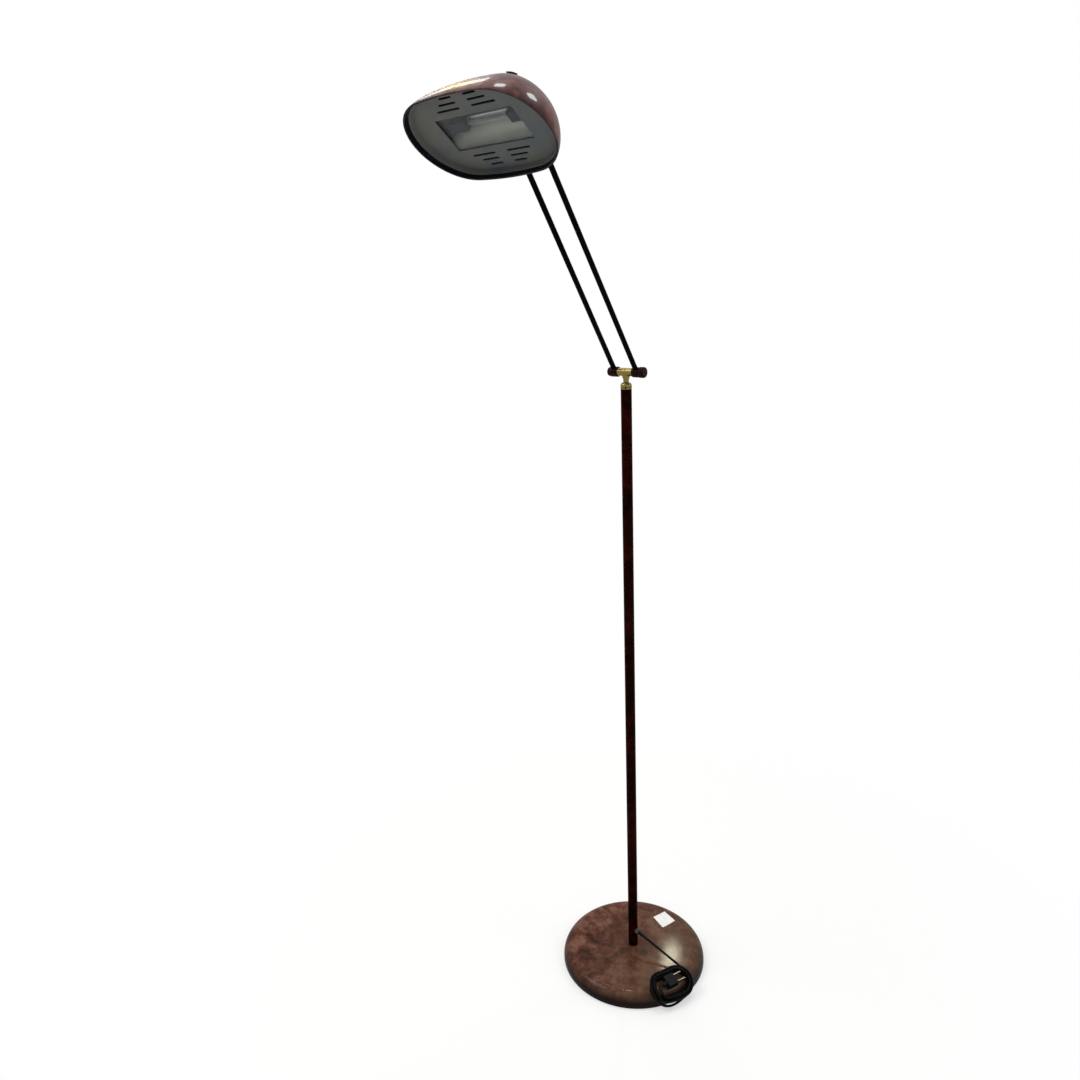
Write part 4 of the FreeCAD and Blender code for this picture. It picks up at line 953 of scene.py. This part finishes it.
@dataclass
class Lead(SubAssembly):
    """Mains lead: straight from the pole to the base's edge, then a hank over it.

    The hank has layers of turns, and its last bend comes back to a plug that lies
    in its opening.  The azimuth is in degrees, and the run-in in diameters.
    """

    title: str = "lead"
    nodes: dict[str, Dress] = field(default_factory=lambda: {
        "cord_bushing": Dress.BUSHING_GREY,
        "plug_body": Dress.PLUG_BLACK,
        "plug_blade_1": Dress.PLATED_BLADE,
        "plug_blade_2": Dress.PLATED_BLADE,
    })
    diameter: float = 4.0 * MM
    length: float = 1.378
    clearance: float = 0.3 * MM
    layer_gap: float = 0.6 * MM
    turn_gap: float = 0.9 * MM
    exit_height: float = 57.0 * MM
    pole_radius: float = 8.25 * MM
    bushing_reach: float = 4.5 * MM
    azimuth: float = 1.5
    base_radius: float = 125.0 * MM
    base_height: float = 26.0 * MM
    edge_radius: float = 20.0 * MM
    half_run: float = 15.0 * MM
    end_radius: float = 26.0 * MM
    middle: float = 25.5 * MM
    turns_per_layer: int = 2
    layers: int = 3
    lower_run_middle: float = 0.25
    lower_run_share: float = 0.25
    last_turn_share: float = 0.375
    run_in: float = 6.0
    points_per_turn: int = 32
    settle_points: int = 6
    bend_points: int = 15
    round_steps: int = 4
    along_steps: int = 6
    plug_shift: float = 4.0 * MM
    plug_thickness: float = 11.0 * MM
    plug_length: float = 18.0 * MM
    plug_neck: float = 4.0 * MM
    relief_length: float = 20.0 * MM
    relief_radii: Reach = (3.6 * MM, 2.4 * MM)
    relief_ribs: int = 5
    relief_points: int = 64
    boot_length: float = 20.0 * MM
    boot_radii: Reach = (3.4 * MM, 2.3 * MM)
    boot_ribs: int = 6
    boot_points: int = 72
    rib_depth: float = 0.35 * MM

    @property
    def turn(self) -> float:
        """Return the lead's azimuth from +X towards -Y, in radians."""
        return math.radians(self.azimuth)

    @property
    def edge_reach(self) -> float:
        """Return the distance of the rounded edge's middle from the pole's axis."""
        return self.base_radius - self.edge_radius

    @property
    def edge_level(self) -> float:
        """Return the height of the rounded edge's middle."""
        return self.base_height - self.edge_radius

    @property
    def wrap(self) -> float:
        """Return the radius of the lowest layer's line over the rounded edge."""
        return self.edge_radius + self.diameter / 2 + self.clearance

    @property
    def landing(self) -> float:
        """Work out where the straight lead, drawn as a tangent, comes to lie on the edge.

        Returns:
            The angle up the rounded edge, in radians.
        """
        away = self.edge_reach - self.pole_radius
        above = self.exit_height - self.edge_level
        return math.pi - math.atan2(above, away) - math.acos(self.wrap / math.hypot(away, above))

    @property
    def hank_reach(self) -> float:
        """Return half the hank's length along the rim, to the lead's own line."""
        return self.half_run + self.end_radius

    def over_edge(self, along: np.ndarray, slope: np.ndarray, offset: np.ndarray) -> np.ndarray:
        """Put points over the base's edge.

        A point's azimuth is its way along the rim over the rim's radius.  Up
        the slope it climbs the outer side, then the quarter circle, then runs
        inwards over the top, always an offset out from the surface.

        Args:
            along: Distances round the rim from the hank's middle.
            slope: Distances up from the foot of the rounded edge.
            offset: Distances out from the surface.

        Returns:
            Points by three.
        """
        around = (along - self.hank_reach) / (self.edge_reach + self.edge_radius / 2) - self.turn
        quarter = self.wrap * math.pi / 2
        angle = np.clip(slope / self.wrap, 0.0, math.pi / 2)
        radius = self.edge_radius + offset
        reach = self.edge_reach + radius * np.cos(angle) - np.maximum(slope - quarter, 0)
        level = self.edge_level + radius * np.sin(angle) + np.minimum(slope, 0)
        return np.stack((reach * np.cos(around), reach * np.sin(around), level), axis=-1)

    @property
    def last_turn(self) -> float:
        """Return how many turns the hank makes before its last bend to the plug."""
        return self.layers * self.turns_per_layer + self.last_turn_share

    def spiral(self, turns: np.ndarray) -> tuple[np.ndarray, np.ndarray]:
        """Follow the spiral from layer to layer.

        The turns go in on the first and third layers and out on the second, and
        the wire climbs to the next layer, with a smooth step, along the lower run
        of the turn where the spiral reverses.

        Args:
            turns: Numbers of turns from the wire's start.

        Returns:
            How many pitches in and how many layers up the wire is.
        """
        reversals = [
            self.turns_per_layer * layer + self.lower_run_middle
            for layer in range(1, self.layers)
        ]
        pitches = np.select(
            [turns <= reversals[0], turns <= reversals[1]], [turns, 2 * reversals[0] - turns],
            turns - 2 * self.turns_per_layer,
        )
        climbs = [
            smooth_step((turns - reversal) / self.lower_run_share + 0.5) for reversal in reversals
        ]
        return pitches, np.sum(climbs, axis=0)

    def coil(self, turns: np.ndarray) -> tuple[np.ndarray, np.ndarray, np.ndarray]:
        """Follow the hank's wire.

        Each turn is a slot shape: a quarter bend down, a run to the left, a half
        bend up, a run to the right and a quarter bend down.

        Args:
            turns: Numbers of turns from the wire's start.

        Returns:
            Distances along the rim, up the slope and out from the surface.
        """
        pitches, layers = self.spiral(turns)
        inset = (self.diameter + self.turn_gap) * pitches
        offset = self.diameter / 2 + self.clearance + (self.diameter + self.layer_gap) * layers
        radius = self.end_radius - inset
        quarter = (turns * 4) % 4
        parts = [quarter < 0.5, quarter < 1.5, quarter < 2.5, quarter < 3.5]
        bend = np.select(parts, [
            -quarter * math.pi, np.full_like(quarter, -math.pi / 2), -(quarter - 1) * math.pi,
            np.full_like(quarter, math.pi / 2),
        ], (4 - quarter) * math.pi)
        centre = np.select(parts, [
            np.full_like(quarter, self.half_run), self.half_run * (2 - 2 * quarter),
            np.full_like(quarter, -self.half_run), self.half_run * (2 * quarter - 6),
        ], self.half_run)
        return centre + radius * np.cos(bend), self.middle + radius * np.sin(bend), offset

    def exit_line(self, distances: np.ndarray) -> np.ndarray:
        """Follow the straight stretch.

        Args:
            distances: Distances out from the pole's face.

        Returns:
            Points by three.
        """
        dip = math.pi / 2 - self.landing
        heading = np.array((
            math.cos(dip) * math.cos(self.turn), -math.cos(dip) * math.sin(self.turn),
            -math.sin(dip),
        ))
        start = np.array((
            self.pole_radius * math.cos(self.turn), -self.pole_radius * math.sin(self.turn),
            self.exit_height,
        ))
        return start + heading * np.asarray(distances)[:, None]

    def plug_frame(self) -> tuple[np.ndarray, np.ndarray]:
        """Place the plug in the hank's opening.

        Returns:
            Its middle, and the way that it points as a direction one long.
        """
        step = self.wrap * 1e-5
        slope = np.full(3, self.middle + self.plug_shift)
        offset = np.array((0.0, self.plug_thickness / 2 + self.clearance, 0.0))
        behind, middle, ahead = self.over_edge(np.array((-step, 0.0, step)), slope, offset)
        return middle, (ahead - behind) / np.linalg.norm(ahead - behind)

    def last_bend(self) -> np.ndarray:
        """Bend a half turn from the hank's last run back to the plug.

        At angle a it is at along - r sin a and slope + r (1 - cos a).  A quarter
        of the way down to the plug's middle comes in its first half, which keeps
        it clear of the inner turns, and the rest in its second.

        Returns:
            Points by three.
        """
        along, slope, top = (value[0] for value in self.coil(np.array([self.last_turn])))
        low = self.plug_thickness / 2 + self.clearance
        radius = (self.middle + self.plug_shift - slope) / 2
        angle = np.linspace(0.0, math.pi, self.bend_points)[:-2]
        half = 2 * angle / math.pi
        down = smooth_step(half) / 4 + smooth_step(half - 1) * 3 / 4
        return self.over_edge(
            along - radius * np.sin(angle), slope + radius * (1 - np.cos(angle)),
            top - (top - low) * down,
        )

    def route(self) -> np.ndarray:
        """Join the straight stretch, the hank's turns and the bend to the plug.

        Returns:
            The lead's points by three.
        """
        low = self.diameter / 2 + self.clearance
        foot = self.over_edge(
            np.array([self.hank_reach]), np.array([self.landing * self.wrap]), np.array([low]))
        span = float(np.linalg.norm(foot[0] - self.exit_line(np.array([self.bushing_reach]))[0]))
        near = self.bushing_reach + span
        run_in = self.run_in * self.diameter
        straight = self.exit_line(np.array([
            self.bushing_reach, self.bushing_reach + run_in, near - run_in, near - self.diameter,
        ]))
        slope = np.linspace(self.landing * self.wrap, self.middle, self.settle_points)[:-1]
        settle = self.over_edge(
            np.full_like(slope, self.hank_reach), slope, np.full_like(slope, low))
        turns = np.arange(0.0, self.last_turn, 1.0 / self.points_per_turn)
        hank = self.over_edge(*self.coil(turns))
        middle, way = self.plug_frame()
        neck = middle - way * (self.plug_length / 2 + self.plug_neck)
        tail = neck - way * (np.array((0.5, 0.0)) * self.diameter)[:, None]
        return np.concatenate((straight, settle, hank, self.last_bend(), tail))

    def build(self) -> list[bpy.types.Object]:
        """Returns:
            The lead and its strain reliefs.
        """
        points = self.route()
        curve = bpy.data.curves.new("mains_lead", "CURVE")
        curve.dimensions = "3D"
        curve.bevel_depth = 1.0
        curve.bevel_resolution = self.round_steps
        curve.resolution_u = self.along_steps
        curve.use_fill_caps = True
        spline = curve.splines.new("NURBS")
        spline.points.add(len(points) - 1)
        spline.points.foreach_set("co", np.column_stack((points, np.ones(len(points)))).ravel())
        # A curve's box grows by its points' radius, so the radius is the lead's own
        spline.points.foreach_set("radius", np.full(len(points), self.diameter / 2))
        spline.order_u = 3
        spline.use_endpoint_u = True
        lead = bpy.data.objects.new("mains_lead", curve)
        bpy.context.scene.collection.objects.link(lead)
        curve.materials.append(Dress.CORD_VINYL.material())
        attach(lead, "stand")
        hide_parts("cord_run", "cord_hank")

        relief = self.exit_relief()
        boot = self.plug_boot(lead)
        return [lead, relief, boot]

    def exit_relief(self) -> bpy.types.Object:
        """Put a ribbed taper round the lead where it leaves the pole's bushing.

        Returns:
            The strain relief.
        """
        share = np.linspace(0.0, 1.0, self.relief_points)
        line = self.exit_line(self.bushing_reach + self.relief_length * share)
        radii = ribbed_taper(share, *self.relief_radii, self.relief_ribs, self.rib_depth)
        made = add_object(
            "exit_relief", grid_mesh("exit_relief", tube(line, radii, (0.0, 1.0, 0.0))),
            Dress.PLUG_BLACK,
        )
        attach(made, "stand")
        return made

    def plug_boot(self, lead: bpy.types.Object) -> bpy.types.Object:
        """Put a ribbed taper round the lead's last stretch, along the lead's own line.

        Args:
            lead: The lead's curve.

        Returns:
            The plug's strain relief.
        """
        bevel, lead.data.bevel_depth = lead.data.bevel_depth, 0.0
        mesh = bpy.data.meshes.new_from_object(lead)
        lead.data.bevel_depth = bevel
        flat = np.empty(len(mesh.vertices) * 3)
        mesh.vertices.foreach_get("co", flat)
        bpy.data.meshes.remove(mesh)
        line = flat.reshape(-1, 3)[::-1]
        steps = np.linalg.norm(np.diff(line, axis=0), axis=1)
        distance = np.concatenate(([0.0], np.cumsum(steps)))
        share = np.linspace(0.0, 1.0, self.boot_points)
        spots = np.stack([
            np.interp(share * self.boot_length, distance, line[:, axis]) for axis in range(3)
        ], axis=1)
        radii = ribbed_taper(share, *self.boot_radii, self.boot_ribs, self.rib_depth)
        outward = Vector(spots[0]).normalized()
        made = add_object(
            "plug_boot", grid_mesh("plug_boot", tube(spots, radii, tuple(outward))),
            Dress.PLUG_BLACK,
        )
        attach(made, "stand")
        return made


# Studio
@dataclass(frozen=True)
class Light:
    """One soft round light, with its width in metres and its power in watts."""

    name: str
    place: Triple
    size: float
    power: float
    tint: Colour


@dataclass(frozen=True)
class Glare:
    """A small light that the camera sees mirrored in a glossy surface.

    The spot is the point of the surface that mirrors it, and the normal is the
    way that the surface faces there.
    """

    name: str
    spot: Triple
    normal: Triple
    size: float
    power: float
    tint: Colour


@dataclass
class Studio:
    """Camera at the photograph's viewing angle, pale floor, soft light and small glares."""

    camera_place: Triple = (0.742895, -1.091570, 1.164004)
    heading: float = 40.229
    dip: float = 15.96
    roll: float = -2.38
    lens: float = 29.12
    sensor: float = 36.0
    clip: Reach = (0.01, 60.0)
    floor_half: float = 6.0
    floor_drop: float = 0.2 * MM
    floor_grain: float = 50 * MM
    floor_tones: tuple = ((0.93, 0.93, 0.92, 1.0), (0.95, 0.95, 0.95, 1.0))
    floor_roughness: float = 0.9
    floor_white_share: float = 0.5
    floor_white_reach: Reach = (0.25, 0.9)
    world_strength: float = 0.62
    aim: Triple = (0.0, 0.0, 0.7)
    lights: tuple[Light, ...] = (
        Light("key", (-1.5, -1.3, 2.9), 1.6, 34.0, (255, 252, 246)),
        Light("fill", (2.2, 0.6, 2.2), 1.2, 12.0, (240, 246, 255)),
    )
    glare_reach: float = 1.4
    glares: tuple[Glare, ...] = (
        Glare("table_glare", (0.066, 0.024, 0.026), (0.0, 0.0, 1.0), 0.05, 0.4, (255, 250, 222)),
        Glare("cord_glare", (0.078, -0.004, 0.026), (0.0, 0.0, 1.0), 0.05, 0.4, (255, 250, 216)),
        Glare("edge_glare", (0.0322, -0.3264, 1.3833), (0.073, -0.448, 0.891), 0.18, 0.75,
              (255, 253, 248)),
        Glare("gold_glare", (0.0049, -0.3312, 1.3822), (0.016, -0.465, 0.885), 0.14, 0.6,
              (255, 208, 80)),
        Glare("front_glare", (-0.0196, -0.335, 1.3796), (-0.046, -0.508, 0.86), 0.16, 0.5,
              (255, 253, 248)),
        Glare("crown_glare", (0.069, -0.329, 1.373), (0.432, -0.408, 0.805), 0.25, 4.0,
              (255, 255, 255)),
        Glare("side_glare", (0.093, -0.307, 1.360), (0.785, -0.075, 0.615), 0.26, 4.2,
              (255, 255, 255)),
    )

    def camera(self) -> None:
        """Stand the camera where the photograph was taken from.

        Its matrix is a turn about Z by the heading, a tip about X from straight
        down by 90 degrees less the dip, and a roll about its own axis.
        """
        data = bpy.data.cameras.new("camera")
        data.lens = self.lens
        data.sensor_width = self.sensor
        data.clip_start, data.clip_end = self.clip
        made = bpy.data.objects.new("camera", data)
        made.matrix_world = (
            Matrix.Translation(self.camera_place)
            @ Matrix.Rotation(math.radians(self.heading), 4, "Z")
            @ Matrix.Rotation(math.radians(90.0 - self.dip), 4, "X")
            @ Matrix.Rotation(math.radians(self.roll), 4, "Z")
        )
        bpy.context.scene.collection.objects.link(made)
        bpy.context.scene.camera = made

    def floor(self) -> None:
        """Lay a pale floor that keeps the lamp's shadow and turns white further away."""
        half = self.floor_half
        span = np.linspace(-half, half, 3)
        across, along = np.meshgrid(span, span, indexing="ij")
        points = np.dstack((across, along, np.full_like(across, -self.floor_drop)))
        mesh = grid_mesh("studio_floor", points, ring=False, caps=False)
        made = bpy.data.objects.new("studio_floor", mesh)
        bpy.context.scene.collection.objects.link(made)
        material = bpy.data.materials.new("pale_floor")
        material.use_nodes = True
        mesh.materials.append(material)
        graph = Graph(material.node_tree)
        spot = graph.place()
        away = graph.node("ShaderNodeVectorMath", {"operation": "LENGTH"}, {0: spot}, "Value")
        grain = graph.noise(spot, self.floor_grain)
        paint = graph.node("ShaderNodeBsdfPrincipled", {}, {
            "Base Color": graph.mix(grain, *self.floor_tones),
            "Roughness": self.floor_roughness,
            "Specular IOR Level": 0.0,
        })
        white = graph.node("ShaderNodeEmission", {}, {"Color": WHITE, "Strength": 1.0})
        near = self.floor_white_share
        share = graph.seen() * (near + (1.0 - near) * graph.span(away, *self.floor_white_reach))
        surface = graph.node("ShaderNodeMixShader", {}, {0: share, 1: paint, 2: white})
        graph.node("ShaderNodeOutputMaterial", {}, {"Surface": surface})

    def sky(self) -> None:
        """Light the room evenly, and show plain white behind the lamp."""
        world = bpy.data.worlds.new("studio")
        world.use_nodes = True
        bpy.context.scene.world = world
        graph = Graph(world.node_tree)
        strength = self.world_strength + (1.0 - self.world_strength) * graph.seen()
        glow = graph.node("ShaderNodeBackground", {}, {"Color": WHITE, "Strength": strength})
        graph.node("ShaderNodeOutputWorld", {}, {"Surface": glow})

    def lamp(self, light: Light, aim: Triple) -> None:
        """Hang one soft round light.

        Args:
            light: Its name, place, size, power and tint.
            aim: The point that it faces.
        """
        data = bpy.data.lights.new(light.name, "AREA")
        data.shape = "DISK"
        data.size = light.size
        data.energy = light.power
        data.color = linear(light.tint)[:3]
        made = bpy.data.objects.new(light.name, data)
        away = Vector(light.place) - Vector(aim)
        turn = away.to_track_quat("Z", "Y").to_matrix().to_4x4()
        made.matrix_world = Matrix.Translation(light.place) @ turn
        bpy.context.scene.collection.objects.link(made)

    def glare(self, glare: Glare) -> None:
        """Hang a light where the camera sees it mirrored in a surface.

        Args:
            glare: The light, and the spot that mirrors it.
        """
        path = (Vector(glare.spot) - Vector(self.camera_place)).normalized()
        mirrored = path.reflect(Vector(glare.normal).normalized())
        place = tuple(Vector(glare.spot) + mirrored * self.glare_reach)
        self.lamp(Light(glare.name, place, glare.size, glare.power, glare.tint), glare.spot)

    def build(self) -> None:
        """Set the stage."""
        self.camera()
        self.floor()
        self.sky()
        for light in self.lights:
            self.lamp(light, self.aim)
        for glare in self.glares:
            self.glare(glare)
        bpy.context.scene.view_settings.view_transform = "Standard"


def main() -> None:
    """Build the studio and every sub-assembly in order."""
    logging.basicConfig(level=logging.INFO, format="%(name)s %(message)s")
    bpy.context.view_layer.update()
    Studio().build()
    for part in (Lead(), Base(), Pole(), Joints(), Head()):
        part.dress()
        for piece in part.build():
            log.info("%s: made %s", part.title, piece.name)
    bpy.context.view_layer.update()


if __name__ == "__main__":
    main()
